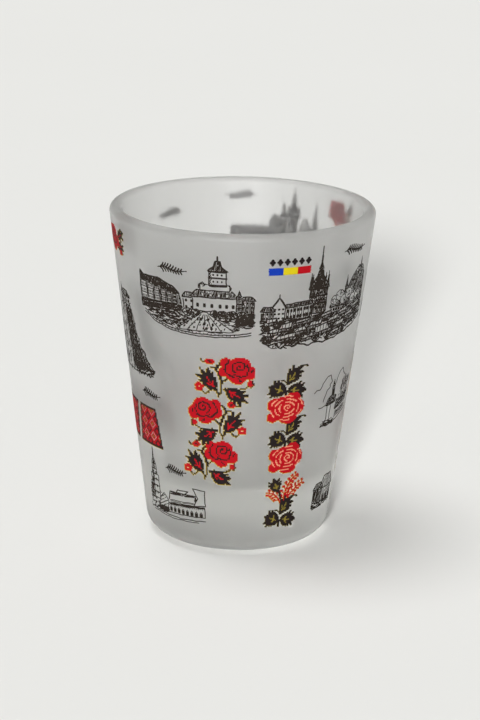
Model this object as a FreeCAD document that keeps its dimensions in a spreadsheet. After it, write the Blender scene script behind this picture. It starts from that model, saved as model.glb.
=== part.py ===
"""Frosted souvenir shot glass with printed motifs, as a parametric FreeCAD document.

Millimetres.  +Z is up and the origin is the centre of the base, on the table.  The front faces -Y.
One piece of pressed glass carries thin patches of fired ceramic ink.  Each patch is a separate
solid that lies face to face on the tapered outer wall.  An azimuth is counted from the front,
positive towards +X.
"""
import FreeCAD, Part
import math
import os
import Sketcher

SHEET = "Sizes"
PARTS_FOLDER = "parts"

GLASS_SIZES = {
    "glass_height": 60.0,
    "base_radius": 16.29,        # wall line carried down to the table
    "mouth_radius": 23.64,       # wall line carried up to the rim height
    "wall_thickness": 2.25,      # at the rim
    "bore_floor_radius": 14.6,   # inner wall line carried down to the inner floor
    "floor_height": 11.5,        # thickness of the solid base
    "base_round": 3.5,
    "bore_round": 3.0,
    "rim_round": 1.1,
    "dish_radius": 8.5,          # shallow hollow under the base, inside the standing ring
    "dish_depth": 0.5,
    "ink_thickness": 0.08,
    "ink_low": 4.2,              # the printable stretch of the wall, clear of both rounds
    "ink_high": 58.6,
}

# Outlines are fractions of a patch's width (-0.5 to 0.5) and of its height (0 to 1).
BAR = [(-0.5, 0.0), (0.5, 0.0), (0.5, 1.0), (-0.5, 1.0)]
TOWN_SQUARE = [
    (-0.5, 0.24), (-0.28, 0.04), (0.02, 0.0), (0.32, 0.04), (0.5, 0.12), (0.5, 0.44), (0.38, 0.56),
    (0.30, 0.62), (0.25, 0.76), (0.21, 1.0), (0.17, 0.80), (0.13, 0.62), (-0.03, 0.52),
    (-0.16, 0.58), (-0.5, 0.66),
]
SKYLINE = [
    (-0.5, 0.06), (-0.34, 0.02), (-0.1, 0.04), (0.2, 0.05), (0.5, 0.12), (0.5, 0.56), (0.40, 0.68),
    (0.24, 0.62), (0.12, 0.48), (0.02, 0.50), (-0.03, 0.66), (-0.07, 0.78), (-0.11, 1.0),
    (-0.15, 0.70), (-0.2, 0.50), (-0.36, 0.58), (-0.5, 0.44),
]
ROSE_COLUMN_LEFT = [
    (-0.28, 0.0), (0.12, 0.0), (0.22, 0.22), (0.30, 0.50), (0.5, 0.72), (0.5, 0.92), (0.28, 1.0),
    (-0.10, 1.0), (-0.22, 0.82), (-0.40, 0.64), (-0.5, 0.50), (-0.46, 0.30), (-0.5, 0.16),
]
ROSE_COLUMN_RIGHT = [
    (-0.12, 0.0), (0.30, 0.02), (0.5, 0.10), (0.42, 0.30), (0.5, 0.48), (0.40, 0.62), (0.34, 0.80),
    (0.36, 1.0), (0.05, 0.98), (-0.30, 0.86), (-0.5, 0.66), (-0.40, 0.48), (-0.5, 0.32),
    (-0.36, 0.14),
]
PEAK = [
    (-0.5, 0.0), (0.30, 0.02), (0.5, 0.10), (0.28, 0.34), (0.14, 0.62), (0.06, 0.90), (-0.04, 1.0),
    (-0.22, 0.94), (-0.34, 0.74), (-0.5, 0.60),
]
LONG_HOUSE = [
    (-0.5, 0.0), (0.5, 0.04), (0.5, 0.58), (0.26, 0.60), (-0.02, 0.44), (-0.18, 0.40), (-0.26, 0.78),
    (-0.33, 1.0), (-0.40, 0.74), (-0.5, 0.52),
]
TREE_CASTLE = [
    (-0.24, 0.0), (0.36, 0.04), (0.5, 0.20), (0.42, 0.74), (0.22, 1.0), (0.02, 0.84), (-0.16, 1.0),
    (-0.40, 0.82), (-0.5, 0.60), (-0.32, 0.30),
]
GATE_HOUSE = [(-0.5, 0.12), (0.12, 0.0), (0.5, 0.14), (0.42, 0.66), (0.0, 1.0), (-0.5, 0.72)]
SPRIG = [
    (-0.34, 0.06), (0.10, 0.0), (0.32, 0.10), (0.5, 0.62), (0.30, 0.94), (-0.10, 1.0), (-0.40, 0.90),
    (-0.5, 0.48),
]
CASTLE = [
    (-0.5, 0.04), (0.10, 0.0), (0.5, 0.08), (0.5, 0.36), (0.26, 0.52), (0.14, 0.66), (0.06, 1.0),
    (-0.04, 0.62), (-0.16, 0.50), (-0.28, 0.78), (-0.36, 0.46), (-0.5, 0.40),
]
TRAPEZOID = [(-0.5, 0.0), (0.5, 0.0), (0.34, 1.0), (-0.34, 1.0)]

# Each motif: azimuth in degrees, chord width, low and high edge above the table, outline.
MOTIFS = {
    "town_square_print": (-23.0, 21.4, 41.4, 56.4, TOWN_SQUARE),
    "skyline_print": (42.0, 24.0, 38.8, 57.6, SKYLINE),
    "colour_bar": (21.2, 7.8, 52.9, 55.9, BAR),
    "rose_column_left": (-11.0, 12.4, 13.8, 38.8, ROSE_COLUMN_LEFT),
    "rose_column_right": (28.0, 10.0, 5.0, 36.8, ROSE_COLUMN_RIGHT),
    "rock_castle_print": (-65.0, 14.4, 31.2, 48.4, PEAK),
    "lower_town_print": (-41.5, 14.2, 5.2, 18.2, LONG_HOUSE),
    "line_castle_print": (58.0, 12.0, 21.8, 33.4, TREE_CASTLE),
    "gate_house_print": (61.5, 7.8, 6.0, 14.0, GATE_HOUSE),
    "rose_sprig_left": (-73.0, 10.0, 52.2, 58.2, SPRIG),
    "rose_sprig_back": (125.0, 9.4, 52.0, 58.4, SPRIG),
    "chapel_print": (94.0, 9.6, 40.0, 54.0, CASTLE),
    "twin_spire_print": (163.0, 18.4, 42.0, 58.4, CASTLE),
    "hill_fortress_print": (-145.0, 17.0, 35.0, 51.0, PEAK),
    "wooden_church_print": (-104.0, 10.6, 29.6, 46.0, CASTLE),
    "rose_column_side": (96.0, 10.0, 5.0, 36.8, ROSE_COLUMN_RIGHT),
    "rose_column_back": (147.0, 12.4, 12.0, 37.0, ROSE_COLUMN_LEFT),
    "bridge_print": (178.0, 10.4, 5.4, 14.4, LONG_HOUSE),
    "farmhouse_print": (-112.0, 13.0, 5.4, 14.8, LONG_HOUSE),
}

# The ornament blocks share one node, as do the pen flourishes beside the drawings.
GROUP_SIZES = {
    "ornament_width": 7.4,
    "ornament_low": 18.4,
    "ornament_high": 25.8,
    "ornament_first_azimuth": -56.5,
    "ornament_step": -22.0,
    "flourish_width": 6.4,
    "flourish_height": 2.4,
}
ORNAMENT_COUNT = 6
# Azimuth and low edge of each flourish, and its width as a share of flourish_width.
FLOURISHES = [
    (-31.5, 51.8, 1.0), (58.0, 54.2, 1.2), (-52.0, 27.2, 0.9), (-37.6, 13.8, 0.8), (181.0, 55.2, 1.0),
    (-142.0, 52.6, 1.0),
]


def make_sheet(doc):
    """The driving dimensions: one named cell for each."""
    sheet = doc.addObject("Spreadsheet::Sheet", SHEET)
    sizes = dict(GLASS_SIZES)
    sizes.update(GROUP_SIZES)
    for name, (azimuth, width, low, high, _outline) in MOTIFS.items():
        sizes[name + "_azimuth"] = azimuth
        sizes[name + "_width"] = width
        sizes[name + "_low"] = low
        sizes[name + "_high"] = high
    for index, (azimuth, low, share) in enumerate(FLOURISHES, 1):
        sizes["flourish_%d_azimuth" % index] = azimuth
        sizes["flourish_%d_low" % index] = low
        sizes["flourish_%d_share" % index] = share
    for row, (alias, value) in enumerate(sizes.items(), 1):
        sheet.set("A%d" % row, alias)
        sheet.set("B%d" % row, "%g" % value)
        sheet.setAlias("B%d" % row, alias)
    doc.recompute()
    return sheet


def cell(alias):
    """A cell's name as an expression writes it."""
    return SHEET + "." + alias


def origin_feature(body, role):
    """One of a body's own origin planes or axes."""
    return next(feature for feature in body.Origin.OriginFeatures if feature.Role == role)


def outline_sketch(body, name, points):
    """A closed polygon on the body's XZ plane.  Each point is a pair of expressions with its start value."""
    sketch = body.newObject("Sketcher::SketchObject", name)
    sketch.AttachmentSupport = [(origin_feature(body, "XZ_Plane"), "")]
    sketch.MapMode = "FlatFace"
    places = [FreeCAD.Vector(x[1], y[1], 0) for x, y in points]
    count = len(points)
    for index in range(count):
        sketch.addGeometry(Part.LineSegment(places[index], places[(index + 1) % count]), False)
    for index in range(count):
        sketch.addConstraint(Sketcher.Constraint("Coincident", index, 2, (index + 1) % count, 1))
    for index, (x, y) in enumerate(points):
        for kind, (expression, value) in (("DistanceX", x), ("DistanceY", y)):
            name = "%s_%d" % (kind[-1].lower(), index)
            constraint = sketch.addConstraint(Sketcher.Constraint(kind, index, 1, value))
            sketch.renameConstraint(constraint, name)
            sketch.setExpression("Constraints." + name, expression)
    return sketch


def circle_edge(shape, height, radius):
    """The name of the circular edge at that height and of that radius."""
    for index, edge in enumerate(shape.Edges, 1):
        curve = edge.Curve
        if isinstance(curve, Part.Circle):
            if abs(curve.Center.z - height) < 1e-4 and abs(curve.Radius - radius) < 1e-4:
                return "Edge%d" % index
    raise ValueError("no circular edge at height %g with radius %g" % (height, radius))


def round_edges(doc, body, name, rings, radius_alias):
    """Fillets the circular edges given as (height, radius)."""
    base = body.Tip
    edges = [circle_edge(base.Shape, height, radius) for height, radius in rings]
    fillet = body.newObject("PartDesign::Fillet", name)
    fillet.Base = (base, edges)
    fillet.setExpression("Radius", cell(radius_alias))
    body.Tip = fillet
    doc.recompute()


def make_glass(doc, sheet):
    """The glass itself: one solid of revolution with a thick base, a full-round rim and rounded corners."""
    body = doc.addObject("PartDesign::Body", "glass_body")
    height = sheet.glass_height
    base_radius = sheet.base_radius
    mouth_radius = sheet.mouth_radius
    inner_mouth = mouth_radius - sheet.wall_thickness
    points = [
        (("0", 0.0), (cell("dish_depth"), sheet.dish_depth)),
        ((cell("dish_radius"), sheet.dish_radius), ("0", 0.0)),
        ((cell("base_radius"), base_radius), ("0", 0.0)),
        ((cell("mouth_radius"), mouth_radius), (cell("glass_height"), height)),
        ((cell("mouth_radius") + " - " + cell("wall_thickness"), inner_mouth), (cell("glass_height"), height)),
        ((cell("bore_floor_radius"), sheet.bore_floor_radius), (cell("floor_height"), sheet.floor_height)),
        (("0", 0.0), (cell("floor_height"), sheet.floor_height)),
    ]
    sketch = outline_sketch(body, "glass_section", points)
    revolution = body.newObject("PartDesign::Revolution", "glass_turned")
    revolution.Profile = sketch
    revolution.ReferenceAxis = (sketch, ["V_Axis"])
    revolution.Angle = 360.0
    doc.recompute()
    round_edges(doc, body, "base_rounded", [(0.0, base_radius)], "base_round")
    round_edges(doc, body, "bore_rounded", [(sheet.floor_height, sheet.bore_floor_radius)], "bore_round")
    round_edges(doc, body, "rim_rounded", [(height, mouth_radius), (height, inner_mouth)], "rim_round")
    return body


def wall_radius_expression(height_alias):
    """The outer wall's radius at the height held in a cell."""
    return "%s + (%s - %s) * %s / %s" % (
        cell("base_radius"), cell("mouth_radius"), cell("base_radius"), cell(height_alias), cell("glass_height"))


def make_wall_cone(doc, name, extra=""):
    """A solid cone on the line of the outer wall, over its printable stretch."""
    cone = doc.addObject("Part::Cone", name)
    cone.setExpression("Radius1", wall_radius_expression("ink_low") + extra)
    cone.setExpression("Radius2", wall_radius_expression("ink_high") + extra)
    cone.setExpression("Height", cell("ink_high") + " - " + cell("ink_low"))
    cone.setExpression("Placement.Base.z", cell("ink_low"))
    return cone


def make_ink_skin(doc):
    """The thin conical skin that every motif is cut from."""
    skin = doc.addObject("Part::Cut", "ink_skin")
    skin.Base = make_wall_cone(doc, "skin_outside", " + " + cell("ink_thickness"))
    skin.Tool = make_wall_cone(doc, "skin_inside")
    return skin


def make_cutter(doc, name, points, azimuth_alias, azimuth):
    """An outline padded outwards from the glass's axis, and turned to its azimuth."""
    body = doc.addObject("PartDesign::Body", name)
    sketch = outline_sketch(body, name + "_sketch", points)
    pad = body.newObject("PartDesign::Pad", name + "_pad")
    pad.Profile = sketch
    pad.setExpression("Length", cell("mouth_radius") + " * 1.1")
    body.Placement = FreeCAD.Placement(
        FreeCAD.Vector(), FreeCAD.Rotation(FreeCAD.Vector(0, 0, 1), azimuth))
    body.setExpression("Placement.Rotation.Angle", azimuth_alias)
    return body


def make_ink(doc, skin, name, cutter):
    """One ink piece: the stretch of a copy of the skin inside a cutter."""
    ink = doc.addObject("Part::Common", name)
    ink.Base = skin
    ink.Tool = cutter
    return ink


def make_motif(doc, sheet, skin, name, motif):
    """One printed motif from its outline, bound to its four cells."""
    azimuth, width, low, high, outline = motif
    points = []
    for across, up in outline:
        x = ("%s * %g" % (cell(name + "_width"), across), width * across)
        rise = "%s + (%s - %s) * %g" % (cell(name + "_low"), cell(name + "_high"), cell(name + "_low"), up)
        points.append((x, (rise, low + (high - low) * up)))
    cutter = make_cutter(doc, name + "_cutter", points, cell(name + "_azimuth"), azimuth)
    return make_ink(doc, skin, name, cutter)


def make_ornaments(doc, sheet, skin):
    """The row of cross-stitch blocks: equal trapezoids at equal steps round the wall."""
    cutters = []
    for index in range(ORNAMENT_COUNT):
        turn = "%s + %s * %d" % (cell("ornament_first_azimuth"), cell("ornament_step"), index)
        azimuth = sheet.ornament_first_azimuth + sheet.ornament_step * index
        points = []
        for across, up in TRAPEZOID:
            side = 1 if index % 2 == 0 else -1
            up = up if side == 1 else 1.0 - up
            x = ("%s * %g" % (cell("ornament_width"), across), sheet.ornament_width * across)
            rise = "%s + (%s - %s) * %g" % (
                cell("ornament_low"), cell("ornament_high"), cell("ornament_low"), up)
            points.append((x, (rise, sheet.ornament_low + (sheet.ornament_high - sheet.ornament_low) * up)))
        cutters.append(make_cutter(doc, "ornament_%d_cutter" % (index + 1), points, turn, azimuth))
    group = doc.addObject("Part::Compound", "ornament_cutters")
    group.Links = cutters
    return make_ink(doc, skin, "folk_ornaments", group)


def make_flourishes(doc, sheet, skin):
    """The small pen flourishes beside the drawings."""
    cutters = []
    for index, (azimuth, low, share) in enumerate(FLOURISHES, 1):
        points = []
        for across, up in BAR:
            x = ("%s * %s * %g" % (cell("flourish_width"), cell("flourish_%d_share" % index), across),
                 sheet.flourish_width * share * across)
            rise = "%s + %s * %g" % (cell("flourish_%d_low" % index), cell("flourish_height"), up)
            points.append((x, (rise, low + sheet.flourish_height * up)))
        turn = cell("flourish_%d_azimuth" % index)
        cutters.append(make_cutter(doc, "flourish_%d_cutter" % index, points, turn, azimuth))
    group = doc.addObject("Part::Compound", "flourish_cutters")
    group.Links = cutters
    return make_ink(doc, skin, "pen_flourishes", group)


def check(doc, nodes):
    """Stops the script if any object failed, or a sub-part has no valid shape."""
    for item in doc.Objects:
        if "Invalid" in item.State or "Error" in item.State:
            raise RuntimeError("%s failed: %s" % (item.Label, item.State))
    for node in nodes:
        if node.Shape.isNull() or not node.Shape.isValid() or not node.Shape.Solids:
            raise RuntimeError(node.Label + " has no valid solid")


def bore_volume(sheet):
    """The brimful capacity in millilitres, from the bore's two radii and its depth."""
    top = sheet.mouth_radius - sheet.wall_thickness
    bottom = sheet.bore_floor_radius
    depth = sheet.glass_height - sheet.floor_height
    return math.pi * depth / 3.0 * (top * top + top * bottom + bottom * bottom) / 1000.0


def main():
    doc = FreeCAD.newDocument("shot_glass")
    sheet = make_sheet(doc)
    skin = make_ink_skin(doc)
    nodes = [make_glass(doc, sheet)]
    for name, motif in MOTIFS.items():
        nodes.append(make_motif(doc, sheet, skin, name, motif))
    nodes.append(make_ornaments(doc, sheet, skin))
    nodes.append(make_flourishes(doc, sheet, skin))
    doc.recompute()
    check(doc, nodes)
    os.makedirs(PARTS_FOLDER, exist_ok=True)
    for node in nodes:
        node.Shape.exportStep(os.path.join(PARTS_FOLDER, node.Label + ".step"))
        print("%-22s %2d solid(s) %9.2f mm3" % (node.Label, len(node.Shape.Solids), node.Shape.Volume))
    print("brimful capacity %.1f ml" % bore_volume(sheet))


main()
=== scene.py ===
"""Frosted souvenir shot glass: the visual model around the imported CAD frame.

The scene is in metres, each pen drawing in millimetres of the wall, and the embroidery in cells of a grid.
The glass is turned from a profile.  Every printed motif is real ink geometry on the tapered wall: pen
drawings are thin beads, and the roses and ornaments are flat cross-stitch cells.
"""
import math
import random
import bpy
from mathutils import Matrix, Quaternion, Vector


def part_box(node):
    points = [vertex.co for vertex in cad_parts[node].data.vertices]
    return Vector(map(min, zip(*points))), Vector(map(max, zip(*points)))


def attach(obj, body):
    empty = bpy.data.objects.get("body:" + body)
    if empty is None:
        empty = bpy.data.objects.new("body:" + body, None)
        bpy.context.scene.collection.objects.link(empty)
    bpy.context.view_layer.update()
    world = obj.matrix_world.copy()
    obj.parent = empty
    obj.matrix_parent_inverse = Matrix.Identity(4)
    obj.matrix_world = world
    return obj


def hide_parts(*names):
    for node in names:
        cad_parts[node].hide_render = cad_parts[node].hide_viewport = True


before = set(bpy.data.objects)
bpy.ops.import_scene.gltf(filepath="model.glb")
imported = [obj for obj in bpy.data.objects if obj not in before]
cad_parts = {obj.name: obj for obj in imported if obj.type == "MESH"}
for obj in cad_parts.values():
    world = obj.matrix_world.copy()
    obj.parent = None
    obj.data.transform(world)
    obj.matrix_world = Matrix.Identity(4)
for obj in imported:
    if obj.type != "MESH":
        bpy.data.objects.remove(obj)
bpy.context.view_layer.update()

MM = 0.001
glass_low, glass_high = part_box("glass_body")
HEIGHT = glass_high[2] - glass_low[2]
SAME_HEIGHT = 1e-5           # points nearer than this in height are on one level

# Glass section
WALL = 2.25 * MM             # wall thickness at the rim
FLOOR = 11.5 * MM            # height of the inner floor
BORE_FLOOR_RADIUS = 14.6 * MM
BASE_ROUND = 3.5 * MM
BORE_ROUND = 3.0 * MM
RIM_ROUND = 1.1 * MM
DISH_RADIUS = 8.5 * MM       # hollow under the base
DISH_DEPTH = 0.5 * MM
TURN_STEPS = 256             # steps round the axis

# Ink relief above the wall
CROSSING_LEVELS = 7          # different heights of the pen strokes
END_TAPER = 0.6              # width of a pen stroke's ends, as a share of its width
INK_FOOT = 0.004 * MM
INK_TOP = 0.030 * MM
TRIM_TOP = INK_TOP * 0.9     # the fine outline beside a stitch
PEN_WEIGHT = 1.25            # how much the pen's ink spreads beyond each stroke's drawn width
TRIM_SHARE = 0.42            # width of that outline, as a share of the stitch


# ---------------------------------------------------------------- the wall

def node_points(node):
    """The points of a CAD node's mesh."""
    return [v.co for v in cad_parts[node].data.vertices]


def end_radius(node, pick):
    """(height, wall radius) at the lowest or highest point of an ink node's CAD solid."""
    points = node_points(node)
    height = pick(p.z for p in points)
    return height, min(math.hypot(p.x, p.y) for p in points if abs(p.z - height) < SAME_HEIGHT)


LOW_END = end_radius("rose_column_right", min)
HIGH_END = end_radius("twin_spire_print", max)
WALL_SLOPE = (HIGH_END[1] - LOW_END[1]) / (HIGH_END[0] - LOW_END[0])


def wall_radius(z):
    """Radius of the outer wall's straight line at height z."""
    return LOW_END[1] + WALL_SLOPE * (z - LOW_END[0])


class Patch:
    """The stretch of wall that a CAD ink node covers, as a flat sheet: x to the right from its middle
    and y up from its low edge, both in millimetres.  A design's own size is scaled to fill the sheet."""

    def __init__(self, node, size=None, points=None):
        points = points or node_points(node)
        middle = sum((Vector((p.x, p.y, 0.0)).normalized() for p in points), Vector())
        self.azimuth = math.atan2(middle.x, -middle.y)
        turns = [self.turn_to(p) for p in points]
        self.azimuth += (min(turns) + max(turns)) / 2.0
        self.low = min(p.z for p in points)
        self.high = max(p.z for p in points)
        self.radius = wall_radius((self.low + self.high) / 2.0)
        half_chord = max(math.hypot(p.x, p.y) * math.sin(abs(self.turn_to(p))) for p in points)
        self.width = 2.0 * math.asin(half_chord / self.radius) * self.radius / MM
        self.height = (self.high - self.low) / MM
        design_width, design_height = size or (self.width, self.height)
        self.scale_x = self.width / design_width
        self.scale_y = self.height / design_height

    def spread_at(self, points, z):
        """How much of the wall's turn the points at height z span, in radians."""
        turns = [self.turn_to(p) for p in points if abs(p.z - z) < SAME_HEIGHT]
        return max(turns) - min(turns)

    def turn_to(self, point):
        """How far a point is turned from the patch's azimuth, in radians."""
        turn = math.atan2(point.x, -point.y) - self.azimuth
        return (turn + math.pi) % (2.0 * math.pi) - math.pi

    def place(self, x, y, lift):
        """The point of space for a point of the sheet, lifted off the wall."""
        turn = self.azimuth + x * self.scale_x * MM / self.radius
        z = self.low + y * self.scale_y * MM
        r = wall_radius(z) + lift
        return (r * math.sin(turn), -r * math.cos(turn), z)


def islands(node):
    """The points of each separate solid of a CAD node, the solids in order of height and then of x."""
    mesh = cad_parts[node].data
    keys = [tuple(round(value, 6) for value in vertex.co) for vertex in mesh.vertices]
    leader = {key: key for key in keys}

    def lead(key):
        while leader[key] != key:
            key = leader[key]
        return key

    for polygon in mesh.polygons:
        first = lead(keys[polygon.vertices[0]])
        for index in polygon.vertices:
            leader[lead(keys[index])] = first
    groups = {}
    for key in leader:
        groups.setdefault(lead(key), []).append(Vector(key))

    def order(points):
        return round(min(p.z for p in points), 4), min(p.x for p in points)

    return sorted(groups.values(), key=order)


# ---------------------------------------------------------------- materials

def new_material(name):
    """A material with its Principled shader, its nodes and its links."""
    material = bpy.data.materials.new(name)
    material.use_nodes = True
    nodes = material.node_tree.nodes
    return material, nodes["Principled BSDF"], nodes, material.node_tree.links


def noise(nodes, links, scale, detail):
    """A 0 to 1 factor from noise fixed to the object."""
    coords = nodes.new("ShaderNodeTexCoord")
    texture = nodes.new("ShaderNodeTexNoise")
    texture.inputs["Scale"].default_value = scale
    texture.inputs["Detail"].default_value = detail
    links.new(coords.outputs["Object"], texture.inputs["Vector"])
    return texture.outputs["Fac"]


def spread(nodes, links, source, low, high):
    """Maps a 0 to 1 factor onto a range."""
    ramp = nodes.new("ShaderNodeMapRange")
    ramp.inputs["To Min"].default_value = low
    ramp.inputs["To Max"].default_value = high
    links.new(source, ramp.inputs["Value"])
    return ramp.outputs["Result"]


def bump(nodes, links, source, distance, strength):
    """Height from a factor, as a normal."""
    node = nodes.new("ShaderNodeBump")
    node.inputs["Distance"].default_value = distance
    node.inputs["Strength"].default_value = strength
    links.new(source, node.inputs["Height"])
    return node.outputs["Normal"]


def colour_between(nodes, links, factor, first, second):
    """A colour between two, by a 0 to 1 factor."""
    mix = nodes.new("ShaderNodeMix")
    mix.data_type = "RGBA"
    mix.inputs["A"].default_value = first + (1.0,)
    mix.inputs["B"].default_value = second + (1.0,)
    links.new(factor, mix.inputs["Factor"])
    return mix.outputs["Result"]


def glass_material():
    """Acid-etched clear glass: rough transmission, with a fine grain and faint clouds in the etch."""
    material, shader, nodes, links = new_material("etched_glass")
    shader.inputs["Base Color"].default_value = (0.90, 0.90, 0.895, 1.0)
    shader.inputs["Transmission Weight"].default_value = 1.0
    shader.inputs["IOR"].default_value = 1.5
    clouds = noise(nodes, links, 90.0, 3.0)
    links.new(spread(nodes, links, clouds, 0.50, 0.62), shader.inputs["Roughness"])
    grain = noise(nodes, links, 5200.0, 2.0)
    links.new(bump(nodes, links, grain, 0.01 * MM, 0.25), shader.inputs["Normal"])
    absorb = nodes.new("ShaderNodeVolumeAbsorption")
    absorb.inputs["Color"].default_value = (0.66, 0.67, 0.44, 1.0)
    absorb.inputs["Density"].default_value = 3.8
    links.new(absorb.outputs["Volume"], nodes["Material Output"].inputs["Volume"])
    return material


def ink_material(name, dark, light):
    """Fired ceramic ink: a satin film whose density varies a little across the print."""
    material, shader, nodes, links = new_material(name)
    shader.inputs["Specular IOR Level"].default_value = 0.06
    density = noise(nodes, links, 1400.0, 4.0)
    links.new(colour_between(nodes, links, density, dark, light), shader.inputs["Base Color"])
    links.new(spread(nodes, links, density, 0.54, 0.70), shader.inputs["Roughness"])
    links.new(bump(nodes, links, density, 0.01 * MM, 0.3), shader.inputs["Normal"])
    return material


PEN_INK = ink_material("pen_ink", (0.010, 0.0075, 0.006), (0.028, 0.021, 0.016))
RED_INK = ink_material("red_ink", (0.26, 0.002, 0.005), (0.35, 0.004, 0.010))
BLACK_INK = ink_material("black_ink", (0.007, 0.005, 0.005), (0.018, 0.012, 0.012))
YELLOW_INK = ink_material("yellow_ink", (0.38, 0.26, 0.025), (0.48, 0.34, 0.04))
PALE_INK = ink_material("pale_line_ink", (0.50, 0.15, 0.09), (0.62, 0.23, 0.14))
OLIVE_INK = ink_material("olive_ink", (0.13, 0.10, 0.016), (0.20, 0.15, 0.028))
BLUE_INK = ink_material("blue_ink", (0.003, 0.022, 0.23), (0.006, 0.034, 0.30))
BRIGHT_YELLOW_INK = ink_material("bright_yellow_ink", (0.42, 0.33, 0.004), (0.50, 0.40, 0.010))


# ---------------------------------------------------------------- pieces

def add_object(name, data):
    """A new object in the scene."""
    thing = bpy.data.objects.new(name, data)
    bpy.context.scene.collection.objects.link(thing)
    return thing


def add_piece(name, vertices, faces, materials, node, face_materials=None, smooth=False):
    """A mesh piece that stands for one CAD node and rides on the glass."""
    mesh = bpy.data.meshes.new(name)
    mesh.from_pydata(vertices, [], faces)
    for material in materials:
        mesh.materials.append(material)
    if face_materials:
        mesh.polygons.foreach_set("material_index", face_materials)
    if smooth:
        mesh.polygons.foreach_set("use_smooth", [True] * len(mesh.polygons))
    mesh.validate()
    mesh.update()
    piece = add_object(name, mesh)
    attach(piece, "root")
    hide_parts(node)


def between(a, b, share):
    """The point part of the way from a to b."""
    return (a[0] + (b[0] - a[0]) * share, a[1] + (b[1] - a[1]) * share)


def oval_arc(x, y, reach_x, reach_y, start, end, steps):
    """Points along part of an ellipse, angles in degrees."""
    points = []
    for step in range(steps + 1):
        angle = math.radians(start + (end - start) * step / steps)
        points.append((x + reach_x * math.cos(angle), y + reach_y * math.sin(angle)))
    return points


def arc(centre, radius, start, end, steps):
    """Points along part of a circle, angles in degrees."""
    return oval_arc(centre[0], centre[1], radius, radius, start, end, steps)


def straight(start, end, steps):
    """The points between two ends, without the ends."""
    return [between(start, end, step / steps) for step in range(1, steps)]


def round_centre(point, lean, radius, z, side):
    """Centre of a round at height z that touches a leaning line through point, on the line's side
    towards the axis (-1) or away from it (1)."""
    line_r = point[0] + math.tan(lean) * (z - point[1])
    return (line_r + side * radius / math.cos(lean), z)


def glass_profile():
    """The section from the centre of the underside, up the outside, over the rim and down the bore."""
    lean = math.atan(WALL_SLOPE)
    mouth = wall_radius(HEIGHT)
    bore_lean = math.atan((mouth - WALL - BORE_FLOOR_RADIUS) / (HEIGHT - FLOOR))
    tilt = math.degrees(lean)
    bore_tilt = math.degrees(bore_lean)
    profile = []
    dish_steps = 8
    for step in range(dish_steps + 1):
        share = step / dish_steps
        profile.append((DISH_RADIUS * share, DISH_DEPTH * (1.0 - share * share)))
    base = round_centre((wall_radius(0.0), 0.0), lean, BASE_ROUND, BASE_ROUND, -1)
    profile += arc(base, BASE_ROUND, -90.0, -tilt, 14)
    outer = round_centre((mouth, HEIGHT), lean, RIM_ROUND, HEIGHT - RIM_ROUND, -1)
    rim = arc(outer, RIM_ROUND, -tilt, 90.0, 9)
    profile += straight(profile[-1], rim[0], 12)
    profile += rim
    inner = round_centre((mouth - WALL, HEIGHT), bore_lean, RIM_ROUND, HEIGHT - RIM_ROUND, 1)
    profile += arc(inner, RIM_ROUND, 90.0, 180.0 - bore_tilt, 9)
    bore = round_centre((BORE_FLOOR_RADIUS, FLOOR), bore_lean, BORE_ROUND, FLOOR + BORE_ROUND, -1)
    end = arc(bore, BORE_ROUND, -bore_tilt, -90.0, 12)
    profile += straight(profile[-1], end[0], 12)
    profile += end
    floor_steps = 6
    for step in range(1, floor_steps + 1):
        profile.append((end[-1][0] * (1.0 - step / floor_steps), FLOOR))
    return profile


def make_glass():
    """The glass turned from its section, closed at both ends on the axis."""
    profile = glass_profile()
    vertices = [(0.0, 0.0, profile[0][1])]
    rings = profile[1:-1]
    for r, z in rings:
        for step in range(TURN_STEPS):
            angle = 2.0 * math.pi * step / TURN_STEPS
            vertices.append((r * math.cos(angle), r * math.sin(angle), z))
    vertices.append((0.0, 0.0, profile[-1][1]))
    last = len(vertices) - 1
    faces = []
    for step in range(TURN_STEPS):
        after = (step + 1) % TURN_STEPS
        faces.append((0, 1 + after, 1 + step))
        for ring in range(len(rings) - 1):
            a = 1 + ring * TURN_STEPS
            b = a + TURN_STEPS
            faces.append((a + step, a + after, b + after, b + step))
        top = 1 + (len(rings) - 1) * TURN_STEPS
        faces.append((top + step, top + after, last))
    add_piece("frosted_glass", vertices, faces, [glass_material()], "glass_body",
              smooth=True)


# ---------------------------------------------------------------- pen drawing kit

def inside(x, y, polygon):
    """Whether a point is inside a polygon."""
    hit = False
    for index, (x0, y0) in enumerate(polygon):
        x1, y1 = polygon[index - 1]
        if (y0 > y) != (y1 > y) and x < (x1 - x0) * (y - y0) / (y1 - y0) + x0:
            hit = not hit
    return hit


def limits(points):
    """Lowest and highest x, then lowest and highest y."""
    xs = [p[0] for p in points]
    ys = [p[1] for p in points]
    return min(xs), max(xs), min(ys), max(ys)


def in_quad(quad, across, up):
    """A point of a four-cornered facade: corners are bottom left, bottom right, top right, top left."""
    return between(between(quad[0], quad[1], across), between(quad[3], quad[2], across), up)


def rectangle(x, y, width, height):
    """Corners of an upright rectangle from its bottom middle."""
    return [(x - width / 2, y), (x + width / 2, y), (x + width / 2, y + height), (x - width / 2, y + height)]


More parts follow.
